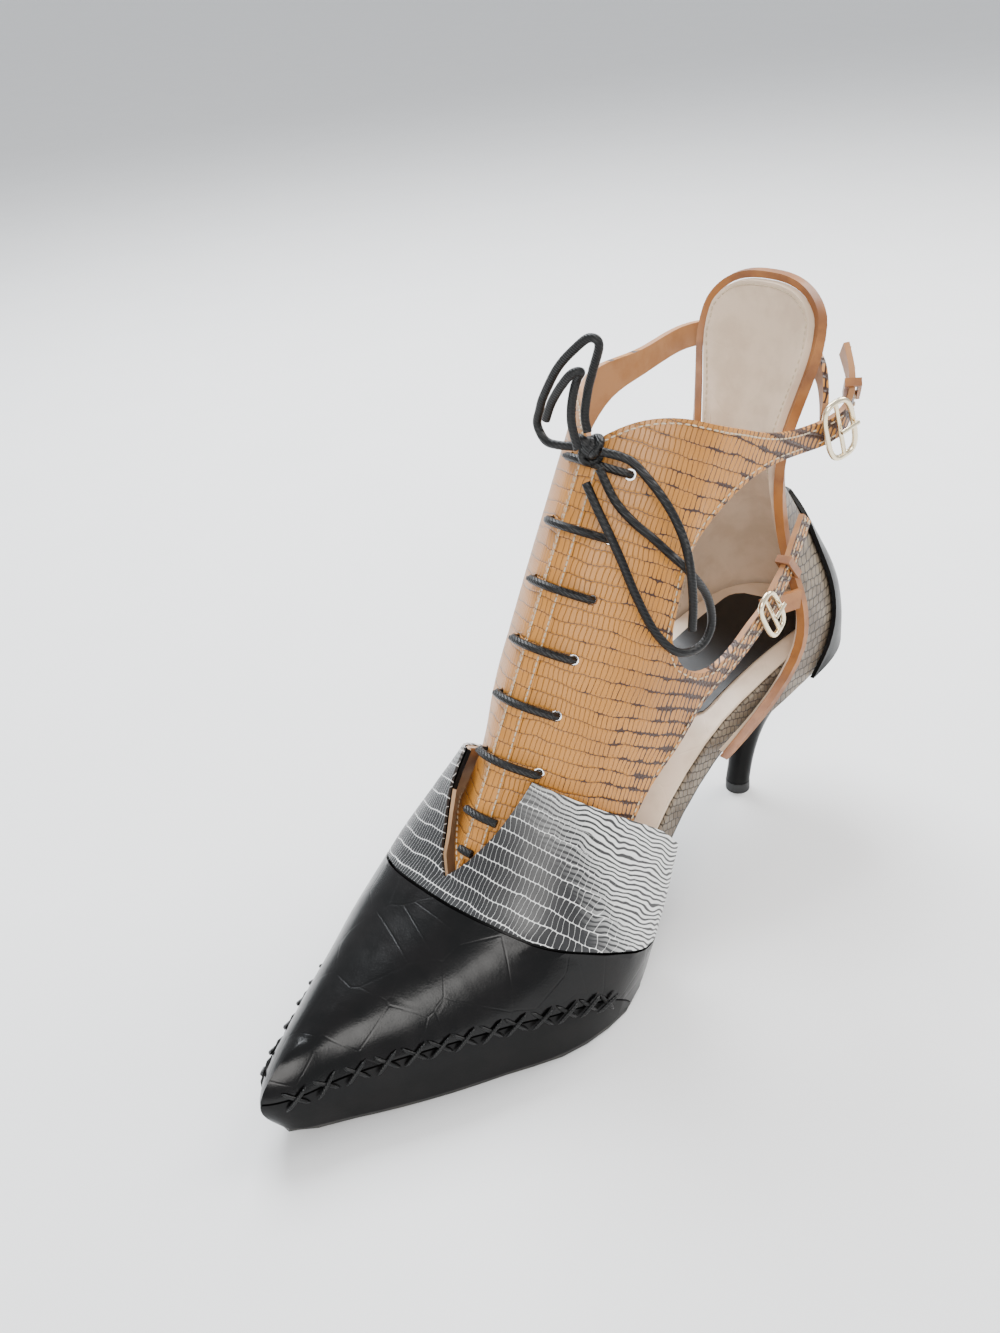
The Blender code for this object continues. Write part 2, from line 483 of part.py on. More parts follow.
def vamp_column(share, side, nose, turns):
    """One column of the toe box, from the ridge to the feather line. `nose` is 0 at its middle and 1 past it."""
    keyed = [(k / (len(VAMP_STATIONS) - 1), *row) for k, row in enumerate(VAMP_STATIONS)]
    foot_back, ridge_back, ridge_up = smooth(keyed, share)[0] * np.array([TOE_REACH, TOE_REACH, VAMP_HEIGHT])
    notch = NOTCH_STATION / (len(VAMP_STATIONS) - 1)
    opened = float(np.clip((share - notch) / (1 - notch), 0, 1))
    weight = float(np.clip((share - 0.40) / 0.60, 0, 1))
    weight = weight**2 * (3 - 2 * weight)
    line_out, line_back = feather_line(side)
    arc = np.concatenate([[0.0], np.cumsum(np.hypot(np.diff(line_out), np.diff(line_back)))])
    first = float(np.interp(VAMP_STATIONS[0][0] * TOE_REACH, line_back, arc))
    along = first * nose if nose < 1 else float(np.interp(foot_back, line_back, arc))
    foot_out, foot_back = float(np.interp(along, arc, line_out)), float(np.interp(along, arc, line_back))
    height, normal = tread(foot_back)
    foot_up = float(height[0] + normal[0, 1] * (OUTSOLE_THICK + GAP))
    start = (NOTCH_OUTER if side > 0 else NOTCH_INNER) * opened**0.8
    round_nose = max(0.0, 1 - along / (2.6 * first))**2
    settled = min(1.0, along / (1.6 * first))
    square = NOSE_SQUARE + ((OUTER_SQUARE if side > 0 else INNER_SQUARE) - NOSE_SQUARE) * settled
    shifted = float(np.clip(share / 0.45, 0, 1))
    ridge_out = -RIDGE_SHIFT * (0.15 + 0.85 * shifted**0.7) * (1 - 0.6 * weight)
    _, last_back, last_up = keyed[-1][1:]
    last = np.array([last_back * TOE_REACH, last_up * VAMP_HEIGHT])
    last_foot = np.array([VAMP_BACK, float(tread(VAMP_BACK)[0][0]) + OUTSOLE_THICK + GAP])
    corner = np.array([BAND_CORNER[0] * TOE_REACH, BAND_CORNER[1] * VAMP_HEIGHT])
    places = []
    for j in range(turns + 1):
        turn = start + (1 - start) * j / turns
        down = 1 - max(math.cos(turn * math.pi / 2), 0.0)**(2 / square)
        wide = math.sin(turn * math.pi / 2)**(2 / square)
        band = float(smooth(BAND_SECTION, down)[0, 0 if side > 0 else 1])
        bent = last + (corner - last) * down / 0.5 if down < 0.5 else corner + (last_foot - corner) * (down - 0.5) / 0.5
        bend = (bent - (last + (last_foot - last) * down)) * weight
        back = ridge_back + (foot_back - ridge_back) * (down * (1 - round_nose) + wide * round_nose)
        up = ridge_up + (foot_up - ridge_up) * down
        out = (ridge_out + (side * foot_out - ridge_out) * wide) * (1 - weight) + side * foot_out * band * weight
        bulge = math.sin(math.pi * down)
        lean = (OUTER_OVERHANG if side > 0 else INNER_OVERHANG) * bulge * (1 - round_nose) * (1 - weight)
        places.append((out + side * lean, back - NOSE_BULGE * bulge * round_nose + float(bend[0]),
                       up + float(bend[1])))
    return places


def vamp_sheet(name, stations=16, turns=9, round_nose=NOSE_COLUMNS):
    """The toe box and band as one open sheet round the feather line, split by the notch behind its tip."""
    notch = NOTCH_STATION / (len(VAMP_STATIONS) - 1)
    plan = [(0.0, k / round_nose) for k in range(round_nose)] + [(s, 1.0) for s in vamp_columns(stations)]
    points, index = [], {}
    for i, (share, nose) in enumerate(plan):
        for side in (1, -1):
            for j, place in enumerate(vamp_column(share, side, nose, turns)):
                if side < 0 and (i == 0 or (j == 0 and share <= notch + 1e-9)):
                    index[i, side, j] = index[i, 1, j]
                elif j == 0 and 0 < i <= round_nose:
                    index[i, side, j] = index[0, 1, 0]
                else:
                    index[i, side, j] = len(points)
                    points.append(place)
    faces = []
    for i in range(len(plan) - 1):
        for side in (1, -1):
            for j in range(turns):
                quad = (index[i, side, j], index[i, side, j + 1], index[i + 1, side, j + 1], index[i + 1, side, j])
                clean = tuple(dict.fromkeys(quad if side > 0 else tuple(reversed(quad))))
                if len(clean) > 2:
                    faces.append(clean)
    mesh = bpy.data.meshes.new(name)
    mesh.from_pydata([tuple(map(float, p)) for p in points], [], faces)
    return mesh


def side_prism(name, outline):
    """A cutter: an outline seen from the side, pushed right through the shoe from side to side."""
    reach = 3 * BALL_HALF
    count = len(outline)
    points = [(side * reach, back, up) for side in (-1, 1) for back, up in outline]
    faces = [tuple(range(count)), tuple(reversed(range(count, 2 * count)))]
    faces += [(k, count + k, count + (k + 1) % count, (k + 1) % count) for k in range(count)]
    mesh = mesh_of(name, points, faces)
    cutter = bpy.data.objects.new(name, mesh)
    bpy.context.scene.collection.objects.link(cutter)
    cutter.hide_render = True
    cutter.display_type = "WIRE"
    return cutter


def seam_line(table, shift_back, shift_up, count=4):
    """A seam from its table as places from the side, moved a little."""
    line = flowing(table, count) * np.array([TOE_REACH, VAMP_HEIGHT])
    return [(float(b) + shift_back, float(u) + shift_up) for b, u in line]


def build_vamp(finishes):
    """Inner wall of the toe box, and the cap, rand and band leather cut over it by the seams."""
    wall = add_object("upper_vamp", vamp_sheet("upper_vamp", round_nose=4), finishes["lining"])
    shift_sheet(wall.data, -COVER_OUT)
    thicken(wall, LINING_WALL)
    far_front, far_back, far_up, far_down = -2 * TOE_REACH, 2 * TOE_REACH, 2 * VAMP_HEIGHT, -VAMP_HEIGHT
    half_gap = SEAM_GAP / 2
    covers = {
        "toe_rand": (finishes["satin"], [(far_front, far_down), *seam_line(RAND_SEAM, 0, -half_gap)]),
        "toe_cap": (finishes["gloss"], [*seam_line(RAND_SEAM, 0, half_gap), (far_back, far_down),
                                        (far_back, CAP_SEAM[-1][1] * VAMP_HEIGHT - half_gap),
                                        *reversed(seam_line(CAP_SEAM, -half_gap, -half_gap)),
                                        (CAP_SEAM[0][0] * TOE_REACH - half_gap, far_up), (far_front, far_up)]),
        "vamp_band": (finishes["band"], [*seam_line(CAP_SEAM, half_gap, half_gap),
                                         (far_back, CAP_SEAM[-1][1] * VAMP_HEIGHT + half_gap), (far_back, far_up),
                                         (CAP_SEAM[0][0] * TOE_REACH + half_gap, far_up)]),
    }
    for name, (finish, outline) in covers.items():
        cover = add_object(name, vamp_sheet(name), finish)
        thicken(cover, COVER_WALL)
        cutter = side_prism(name + "_cutter", outline)
        cut = cover.modifiers.new("seams", "BOOLEAN")
        cut.operation = "INTERSECT"
        cut.object = cutter


def instep_half(depth):
    """Half width of the instep at a depth behind its ridge."""
    steps = np.linspace(0, INSTEP_SECTION[-1][0], 240)
    curve = smooth(INSTEP_SECTION, steps)
    return float(np.interp(depth / INSTEP_DEPTH, curve[:, 0], curve[:, 1])) * INSTEP_HALF


def instep_place(along, depth):
    """Back and height of a point of the instep, from how far up the ridge and how deep behind it."""
    run, rise = math.cos(RIDGE_SLOPE), math.sin(RIDGE_SLOPE)
    return np.array([RIDGE_START_BACK + run * along + rise * depth, RIDGE_START_UP + rise * along - run * depth])


def facing_rows(columns, per_row):
    """Rows of a facing's panel: each a list of (out, back, up)."""
    rows = []
    for ridge, edge, depth, tuck in flowing(FACING_ROWS, per_row):
        row = []
        for k in range(columns + 1):
            share = k / columns
            along = (ridge + (edge - ridge) * math.sin(share * math.pi / 2)) * RIDGE_LENGTH
            deep = depth * INSTEP_DEPTH * share**1.7
            back, up = instep_place(along, deep)
            tucked = instep_half(deep) - tuck * INSTEP_HALF * min(3.2 * share, 1.0)**1.5
            row.append((max(tucked, FRONT_SPLIT), back, up))
        rows.append(row)
    return rows


def strap_stations(table, per_station, first=None):
    """Stations of a strap in metres, smooth between the rows of its table."""
    sizes = np.array([ANKLE_BACK, COLLAR_HEIGHT, ANKLE_BACK, COLLAR_HEIGHT, INSTEP_HALF, INSTEP_HALF])
    rows = np.array(table) * sizes
    return flowing(rows if first is None else np.vstack([first, rows]), per_station)


def strap_columns(panel_low, panel_high, table, rows, per_station):
    """Columns of a strap past the panel: from its lower edge to its upper edge, `rows` steps apart."""
    first = [panel_low[1], panel_low[2], panel_high[1], panel_high[2], (panel_low[0] + panel_high[0]) / 2, 0.0]
    columns = []
    for low_back, low_up, high_back, high_up, out, lean in strap_stations(table, per_station, first)[1:]:
        columns.append([(out + lean * (r / rows - 0.5), low_back + (high_back - low_back) * r / rows,
                         low_up + (high_up - low_up) * r / rows) for r in range(rows + 1)])
    return columns


def facing_mesh(name, side, top_strap, low_strap, columns=8, per_row=1, per_station=2):
    """One half of the laced instep with both its straps, as one open sheet."""
    panel = facing_rows(columns, per_row)
    points, index = [], {}
    for r, row in enumerate(panel):
        for c, (out, back, up) in enumerate(row):
            index[r, c] = len(points)
            points.append((side * out, back, up))
    cells = [(r, c) for r in range(len(panel) - 1) for c in range(columns)]
    for (start, end), table in ((LOW_STRAP_ROWS, low_strap), (TOP_STRAP_ROWS, top_strap)):
        first, last = start * per_row, end * per_row
        made = strap_columns(panel[first][-1], panel[last][-1], table, last - first, per_station)
        for c, column in enumerate(made, start=columns + 1):
            for k, (out, back, up) in enumerate(column):
                index[first + k, c] = len(points)
                points.append((side * out, back, up))
        cells += [(r, c) for r in range(first, last) for c in range(columns, columns + len(made))]
    faces = []
    for r, c in cells:
        quad = (index[r, c], index[r, c + 1], index[r + 1, c + 1], index[r + 1, c])
        faces.append(quad if side > 0 else tuple(reversed(quad)))
    mesh = bpy.data.meshes.new(name)
    mesh.from_pydata([tuple(map(float, p)) for p in points], [], faces)
    return mesh


def punch_holes(facing, side):
    """Cut the lace holes through one facing."""
    points, faces = [], []
    around = 12
    for share, _, _ in LACE_BARS[FIRST_HOLE:]:
        place, normal = lace_hole(share * RIDGE_LENGTH, side)
        sideways = np.cross(normal, (0.0, 0.0, 1.0))
        sideways = sideways / np.linalg.norm(sideways)
        upright = np.cross(normal, sideways)
        rings = [[place + normal * reach + HOLE_RADIUS * (sideways * math.cos(a) + upright * math.sin(a))
                  for a in np.linspace(0, 2 * math.pi, around + 1)[:-1]]
                 for reach in (-2 * FACING_WALL, FACING_WALL)]
        made, walls = loft(rings)
        faces += [tuple(len(points) + v for v in wall) for wall in walls]
        points += made
    name = facing.name + "_holes"
    cutter = bpy.data.objects.new(name, mesh_of(name, points, faces))
    bpy.context.scene.collection.objects.link(cutter)
    cutter.hide_render = True
    cutter.display_type = "WIRE"
    punch = facing.modifiers.new("holes", "BOOLEAN")
    punch.operation = "DIFFERENCE"
    punch.solver = "EXACT"
    punch.object = cutter


def build_facings(finishes):
    """Both halves of the laced instep, each with its ankle strap and lower strap."""
    for name, side, top_strap, low_strap in (
            ("upper_facing_outer", 1, TOP_STRAP_OUTER, LOW_STRAP_OUTER),
            ("upper_facing_inner", -1, TOP_STRAP_INNER, LOW_STRAP_INNER)):
        facing = add_object(name, facing_mesh(name, side, top_strap, low_strap), finishes["facing"])
        thicken(facing, FACING_WALL)
        punch_holes(facing, side)


def counter_level(height, side):
    """One level of the counter outside from the middle of the back to the front edge: (arc, out, back)."""
    wide, back, outer, inner, share = smooth(COUNTER_LEVELS, height / COUNTER_TOP)[0]
    wide, back, front = wide * COUNTER_HALF, back * COUNTER_BACK, (outer if side > 0 else inner) * COUNTER_BACK
    joint = max(front, back - SEAT_ROUND - COUNTER_WALL - GAP)
    square = 2 / (2 + (COUNTER_SQUARE - 2) * float(np.clip((share - 0.5) / 0.5, 0, 1)))
    angle = np.linspace(0, share * math.pi / 2, 60)
    final = math.cos(share * math.pi / 2)**square if share < 1 else 0.0
    cosine = np.maximum(np.cos(angle), 0)**square
    out = wide * (np.sin(angle) / math.sin(share * math.pi / 2))**square
    places = joint + (back - joint) * (cosine - final) / (1 - final)
    if front < joint - 0.001:
        straight = np.linspace(joint, front, 30)[1:]
        plan = smooth(BOARD_PLAN, (straight + TOE_REACH) / SOLE_LENGTH)[:, 0 if side > 0 else 1]
        low = float(np.clip((0.42 - height / COUNTER_TOP) / 0.06, 0, 1))
        out = np.concatenate([out, wide + (plan - BOARD_PLAN[-2][1]) * BALL_HALF * low])
        places = np.concatenate([places, straight])
    arc = np.concatenate([[0.0], np.cumsum(np.hypot(np.diff(out), np.diff(places)))])
    return arc, out, places


def counter_point(turn, height):
    """A point of the counter outside. `turn` runs from -1, inner front edge, past the back, 0, to 1."""
    side = 1 if turn >= 0 else -1
    arc, out, back = counter_level(height, side)
    at = abs(turn) * arc[-1]
    return np.array([side * np.interp(at, arc, out), np.interp(at, arc, back), height])


def counter_low(turn):
    """Height of the counter's bottom edge, a little under the top of the board."""
    floor = COUNTER_LEVELS[0][0] * COUNTER_TOP
    at_back = SEAT_HEIGHT + OUTSOLE_THICK + 2 * GAP
    return at_back + (floor - at_back) * abs(turn)**1.7


def counter_high(turn):
    """Height of the tab's top edge, an arch between its two shoulders."""
    rise = math.sqrt(max(1 - abs(turn)**2.6, 0.0))
    return COUNTER_TOP * (TAB_SHOULDER + (1 - TAB_SHOULDER) * rise)


def counter_grid(turns, levels, margin):
    """Places (turn, height) of the counter, its front and top edges moved in by the margin."""
    def place(turn, share):
        low, high = counter_low(turn), counter_high(turn)
        return turn, low + (high - low) * share

    def length(turn, height):
        return float(counter_level(height, 1 if turn >= 0 else -1)[0][-1])

    corners = [place(-1, v / levels) for v in range(levels + 1)]
    corners += [place(2 * k / turns - 1, 1) for k in range(1, turns)]
    corners += [place(1, v / levels) for v in range(levels, -1, -1)]
    flat = np.array([(turn * length(turn, height), height) for turn, height in corners])
    ahead, behind = np.vstack([flat[1:], 2 * flat[-1] - flat[-2]]), np.vstack([2 * flat[0] - flat[1], flat[:-1]])
    run = ahead - behind
    inward = np.stack([run[:, 1], -run[:, 0]], 1) / np.hypot(run[:, 0], run[:, 1])[:, None]
    inward[0], inward[-1] = (1.0, 0.0), (-1.0, 0.0)
    moved = flat + inward * margin
    rim = [(a / length(a, min(h, COUNTER_TOP)), h) for a, h in moved]
    grid = {}
    for k in range(turns + 1):
        for v in range(levels + 1):
            turn, height = place(2 * k / turns - 1, v / levels)
            shrink = margin * 1.15
            grid[k, v] = (turn * (1 - shrink / length(turn, height)), height - shrink * v / levels)
    for v in range(levels + 1):
        grid[0, v], grid[turns, v] = rim[v], rim[len(rim) - 1 - v]
    for k in range(1, turns):
        grid[k, levels] = rim[levels + k]
    return grid, rim


def grid_mesh(name, points, across):
    """An open sheet from rows of points, `across` points to a row."""
    faces = [(b, b + 1, b + across + 1, b + across) for r in range(len(points) // across - 1)
             for b in range(r * across, (r + 1) * across - 1)]
    mesh = bpy.data.meshes.new(name)
    mesh.from_pydata([tuple(map(float, p)) for p in points], [], faces)
    return mesh


def build_counter(finishes):
    """Counter with its tall tab, the leather bound over its edge, and the backstay that wraps it behind."""
    turns, levels = 26, 15
    grid, _ = counter_grid(turns, levels, BINDING_WIDE + GAP)
    points = [counter_point(*grid[k, v]) for k in range(turns + 1) for v in range(levels + 1)]
    counter = add_object("upper_counter", grid_mesh("upper_counter", points, levels + 1), finishes["counter"])
    thicken(counter, COUNTER_WALL)
    _, outer = counter_grid(turns, levels, 0.0)
    _, inner = counter_grid(turns, levels, BINDING_WIDE)
    edge = []
    for near, far in zip(inner, outer):
        edge += [counter_point(*far), counter_point(*near)]
    binding = add_object("counter_binding", grid_mesh("counter_binding", edge, 2), finishes["strap"])
    shift_sheet(binding.data, (BINDING_WALL - COUNTER_WALL) / 2)
    thicken(binding, BINDING_WALL)

    points = []
    for level in range(11):
        share = level / 10
        reach = BACKSTAY_TURN * (1 - 0.72 * share**4)
        for k in range(25):
            turn = reach * (1 - k / 12)
            low = counter_low(turn)
            points.append(counter_point(turn, low + (COUNTER_TOP * BACKSTAY_TOP - low) * share))
    backstay = add_object("backstay", grid_mesh("backstay", points, 25), finishes["satin"])
    shift_sheet(backstay.data, 2 * GAP + BACKSTAY_WALL)
    thicken(backstay, BACKSTAY_WALL)


def add_cord(name, points, radius, finish):
    """A round cord along points, with closed ends."""
    curve = bpy.data.curves.new(name, "CURVE")
    curve.dimensions = "3D"
    spline = curve.splines.new("POLY")
    spline.points.add(len(points) - 1)
    for knot, place in zip(spline.points, points):
        knot.co = (*map(float, place), 1)
    curve.bevel_depth = radius
    curve.bevel_resolution = 2
    curve.use_fill_caps = True
    made = bpy.data.objects.new(name, curve)
    bpy.context.scene.collection.objects.link(made)
    curve.materials.append(finish)
    return made


def even_path(rows, spacing):
    """A smooth path through rows, with points about `spacing` apart."""
    line = flowing(rows, 12)
    arc = np.concatenate([[0.0], np.cumsum(np.linalg.norm(np.diff(line, axis=0), axis=1))])
    at = np.linspace(0, arc[-1], max(4, round(arc[-1] / spacing)) + 1)
    return np.stack([np.interp(at, arc, line[:, k]) for k in range(3)], 1)


def instep_surface(along, across):
    """A point of the laced instep and its outward normal, from the distance across the ridge."""
    steps = np.linspace(0, INSTEP_SECTION[-1][0], 240)
    curve = smooth(INSTEP_SECTION, steps) * np.array([INSTEP_DEPTH, INSTEP_HALF])
    deep = float(np.interp(abs(across), curve[:, 1], curve[:, 0]))
    slope = float(np.interp(abs(across) + 0.0008, curve[:, 1], curve[:, 0])) - deep
    run = np.array([math.copysign(slope, across) if across else 0.0, -0.0008])
    run = run / np.linalg.norm(run)
    back, up = instep_place(along, deep)
    rise = np.array([math.sin(RIDGE_SLOPE), -math.cos(RIDGE_SLOPE)])
    return np.array([across, back, up]), np.array([run[0], run[1] * rise[0], run[1] * rise[1]])


def lace_hole(along, side):
    """Middle of a lace hole on the leather and the normal there."""
    return instep_surface(along, LACE_OUTER if side > 0 else -LACE_INNER)


def build_lace(finishes):
    """Straight bars across the instep, the knot, both loops and both ends."""
    over = LACE_RADIUS + LACE_CLEAR
    for number, (share, reach, hump) in enumerate(LACE_BARS):
        along = share * RIDGE_LENGTH
        points = []
        ends = number >= FIRST_HOLE
        left, right = -LACE_INNER * reach, LACE_OUTER * reach
        inset = HOLE_RADIUS / 2 if ends else 0.0
        count = 7
        for k in range(count + 1):
            across = left + inset + (right - left - 2 * inset) * k / count
            place, normal = instep_surface(along, across)
            points.append(place + normal * (over + hump * LACE_HUMP * math.sin(math.pi * k / count)))
        if ends:
            for side in (-1, 1):
                place, normal = lace_hole(along, side)
                dive = [place + normal * 0.0009, place - normal * (FACING_WALL + 0.0004)]
                points = points + dive if side > 0 else dive[::-1] + points
        add_cord(f"lace_bar_{number + 1}", points, LACE_RADIUS, finishes["lace"])
    knot = np.array([KNOT_OUT, KNOT_BACK, KNOT_UP])
    rings = []
    for level in range(1, 8):
        tall = math.cos(level * math.pi / 8)
        wide = math.sin(level * math.pi / 8)
        rings.append([knot + KNOT_RADIUS * np.array([wide * math.cos(a), 0.72 * wide * math.sin(a), 0.95 * tall])
                      for a in np.linspace(0, 2 * math.pi, 13)[:-1]])
    add_object("lace_knot", mesh_of("lace_knot", *loft(rings)), finishes["lace"])
    for name, table in (("lace_loop_upper", UPPER_LOOP), ("lace_loop_lower", LOWER_LOOP),
                        ("lace_end_upper", UPPER_END), ("lace_end_lower", LOWER_END)):
        path = even_path(knot + np.array(table) * LOOP_REACH, 2.2 * LACE_RADIUS * 2)
        add_cord(name, path, LACE_RADIUS, finishes["lace"])


def strap_frame(table, station, side):
    """Middle of a strap's outer face at a station, with its directions along, across and outward, and its width."""
    lines = strap_stations(table, 4)
    row = int(round(station * 4))

    def edges(k):
        low_back, low_up, high_back, high_up, out, lean = lines[k]
        return (np.array([side * (out - lean / 2), low_back, low_up]),
                np.array([side * (out + lean / 2), high_back, high_up]))

    low, high = edges(row)
    ahead = sum(edges(min(row + 1, len(lines) - 1))) / 2 - sum(edges(max(row - 1, 0))) / 2
    along = ahead / np.linalg.norm(ahead)
    across = (high - low) - along * float(np.dot(high - low, along))
    width = float(np.linalg.norm(across))
    across = across / width
    outward = np.cross(along, across)
    if outward[0] * side < 0:
        outward = -outward
    return (low + high) / 2, along, across, outward, width


def ring_tube(path, radius, around=8):
    """Points and faces of a closed loop of round wire through the places of a path."""
    count = len(path)
    points, faces = [], []
    middle = sum(path) / count
    plane = np.cross(path[0] - middle, path[count // 4] - middle)
    plane = plane / np.linalg.norm(plane)
    for k in range(count):
        run = path[(k + 1) % count] - path[k - 1]
        out = np.cross(run, plane)
        out = out / np.linalg.norm(out)
        for j in range(around):
            angle = 2 * math.pi * j / around
            points.append(path[k] + radius * (out * math.cos(angle) + plane * math.sin(angle)))
            n, m = (k + 1) % count, (j + 1) % around
            faces.append((k * around + j, k * around + m, n * around + m, n * around + j))
    return points, faces


def rounded_loop(centre, long_axis, wide_axis, long, wide, count=32, square=3.2):
    """Places round a rounded rectangle."""
    places = []
    for k in range(count):
        angle = 2 * math.pi * k / count
        c, s = math.cos(angle), math.sin(angle)
        places.append(centre + long_axis * (math.copysign(abs(c)**(2 / square), c) * long / 2)
                      + wide_axis * (math.copysign(abs(s)**(2 / square), s) * wide / 2))
    return places


def build_buckle(name, table, station, long, wide, finishes):
    """A slim buckle lying on a strap: a frame with its middle bar, and the prong over it."""
    place, along, across, outward, _ = strap_frame(table, station, 1)
    centre = place + outward * (2 * GAP + BUCKLE_WIRE)
    frame = add_object(name, mesh_of(name, *ring_tube(rounded_loop(centre, across, along, long, wide),
                                                      BUCKLE_WIRE)), finishes["gold"])
    half = long / 2
    bar_rings = []
    for end in (-half, half):
        bar_rings.append([centre + across * end + BUCKLE_WIRE * 0.8 * (along * math.cos(a) + outward * math.sin(a))
                          for a in np.linspace(0, 2 * math.pi, 9)[:-1]])
    bar = bpy.data.objects.new(name + "_bar", mesh_of(name + "_bar", *loft(bar_rings)))
    bpy.context.scene.collection.objects.link(bar)
    bar.hide_render = True
    bar.display_type = "WIRE"
    join = frame.modifiers.new("bar", "BOOLEAN")
    join.operation = "UNION"
    join.solver = "EXACT"
    join.object = bar
    rest = centre + outward * (BUCKLE_WIRE + 0.0007 + GAP)
    add_cord(name + "_prong", [rest - along * wide * 0.1, rest + along * wide * 0.2, rest + along * wide * 0.56],
             0.0007, finishes["gold"])


def build_keeper(name, table, station, depth_in, finishes):
    """A leather loop round a strap, closed behind it."""
    place, along, across, outward, width = strap_frame(table, station, 1)
    clear = 2 * GAP
    tall = width / 2 + clear
    near, far = clear, -(depth_in + clear)
    rings = []
    for end in (-KEEPER_WIDE / 2, KEEPER_WIDE / 2):
        inner = [(tall, near), (-tall, near), (-tall, far), (tall, far)]
        grow = KEEPER_WALL
        outer = [(tall + grow, near + grow), (-tall - grow, near + grow), (-tall - grow, far - grow),
                 (tall + grow, far - grow)]
        rings.append([[place + along * end + across * a + outward * o for a, o in loop] for loop in (inner, outer)])
    points = [p for ring in rings for loop in ring for p in loop]
    faces = []
    for k in range(4):
        n = (k + 1) % 4
        faces.append((k, n, 8 + n, 8 + k))
        faces.append((4 + k, 12 + k, 12 + n, 4 + n))
        faces.append((k, 4 + k, 4 + n, n))
        faces.append((8 + k, 8 + n, 12 + n, 12 + k))
    add_object(name, mesh_of(name, points, faces), finishes["strap"])


def build_straps(finishes):
    """Buckles, keepers and the short strap that ties the lower buckle to the quarter."""
    build_buckle("ankle_buckle", TOP_STRAP_OUTER, 6.5, ANKLE_BUCKLE_LONG, ANKLE_BUCKLE_WIDE, finishes)
    build_buckle("lower_buckle", LOW_STRAP_OUTER, 4.0, LOW_BUCKLE_LONG, LOW_BUCKLE_WIDE, finishes)
    build_keeper("ankle_keeper", TOP_STRAP_OUTER, 8.6, STRAP_WALL + 0.0002, finishes)
    build_keeper("lower_keeper", LOW_STRAP_OUTER, 6.0, STRAP_WALL + 0.0002, finishes)
    points = []
    stations = strap_stations(BASE_STRAP, 3)
    for low_back, low_up, high_back, high_up, out, lean in stations:
        points += [(out, low_back + (high_back - low_back) * r / 4, low_up + (high_up - low_up) * r / 4)
                   for r in range(5)]
    base = add_object("lower_base_strap", grid_mesh("lower_base_strap", points, 5), finishes["strap"])
    thicken(base, STRAP_WALL)


def build_patch(finishes):
    """Bare patch lying on the sock at the seat."""
    rings = []
    length = PATCH_BACK - PATCH_FRONT
    for place in sole_stations(PATCH_FRONT, PATCH_BACK, 22):
        height, normal = tread(place)
        low = board_top((place + TOE_REACH) / SOLE_LENGTH) + 2 * GAP + SOCK_THICK
        share = (place - PATCH_FRONT) / length
        half = PATCH_HALF * (0.90 + 0.10 * share) * float(
            round_end(place - PATCH_FRONT, 0.006, 3.0) * round_end(PATCH_BACK - place, 0.010, 3.0))
        half = max(half, 0.004)
        ring = []
        for out, lift in ((half, low), (half, low + PATCH_THICK), (-half, low + PATCH_THICK), (-half, low)):
            ring.append((out, place + float(normal[0, 0]) * lift, float(height[0]) + float(normal[0, 1]) * lift))
        rings.append(ring)
    add_object("sock_patch", mesh_of("sock_patch", *loft(rings)), finishes["patch"])


def build_heel(finishes):
    """Slim heel from its tip to the underside of the seat."""
    around = 20

    def ring(share, start):
        middle, deep, wide = smooth(HEEL_SECTIONS, share)[0]
        places = []
        for k in range(around):
            angle = 2 * math.pi * k / around
            back = middle * HEEL_REACH + deep * HEEL_DEPTH_HALF * math.cos(angle)
            out = wide * HEEL_HALF * math.sin(angle)
            top = float(tread(min(back, HEEL_REACH))[0][0]) - GAP
            places.append((out, back, start + share * (top - start)))
        return places

    low = HEEL_TIP_THICK + GAP
    shares = [0.0, 0.10, 0.20, 0.30, 0.38, 0.46, 0.53, 0.60, 0.68, 0.77, 0.88, 1.0]
    heel = mesh_of("heel", *loft([ring(s, low) for s in shares]))
    add_object("heel", heel, finishes["satin"])
    tip = [[(out, back, height) for out, back, _ in ring(0.0, low)] for height in (0.0, HEEL_TIP_THICK)]
    add_object("heel_tip", mesh_of("heel_tip", *loft(tip)), finishes["tip"])


def main():
    """Clear the scene and build every piece."""
    for old in list(bpy.data.objects):
        bpy.data.objects.remove(old, do_unlink=True)
    finishes = {
        "gloss": material("glossy_black_leather", BLACK_GLOSS, 0.22),
        "satin": material("satin_black_leather", BLACK_SATIN, 0.42),
        "lining": material("lining_leather", CREAM, 0.6),
        "band": material("printed_band_leather", BAND_GREY, 0.5),
        "facing": material("tan_embossed_leather", TAN, 0.45),
        "counter": material("grey_beige_leather", TAUPE, 0.5),
        "board": material("board_edge_leather", TAUPE, 0.55),
        "sock": material("cream_sock_leather", CREAM, 0.5),
        "sole": material("outsole_leather", BLACK_SATIN, 0.5),
        "tip": material("heel_tip_rubber", (0.015, 0.015, 0.015), 0.6),
        "lace": material("waxed_cord", (0.01, 0.01, 0.01), 0.4),
        "patch": material("bare_patch_leather", (0.02, 0.02, 0.02), 0.5),
        "gold": material("pale_gold_metal", GOLD, 0.25, 1.0),
        "strap": material("tan_strap_leather", TAN, 0.5),
    }
    build_sole(finishes)
    build_vamp(finishes)
    build_facings(finishes)
    build_counter(finishes)
    build_heel(finishes)
    build_lace(finishes)
    build_straps(finishes)
    build_patch(finishes)


main()
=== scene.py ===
"""Dressed scene of the left lace-up heel: leathers, stitches, lace, buckles, floor, light and camera.

All sizes are metres in the shoe's own frame: the toe points to -Y and the outer side is +X.
"""

from __future__ import annotations

import logging
import math
from dataclasses import dataclass, field
from enum import Enum
from typing import Callable, Iterable, Sequence

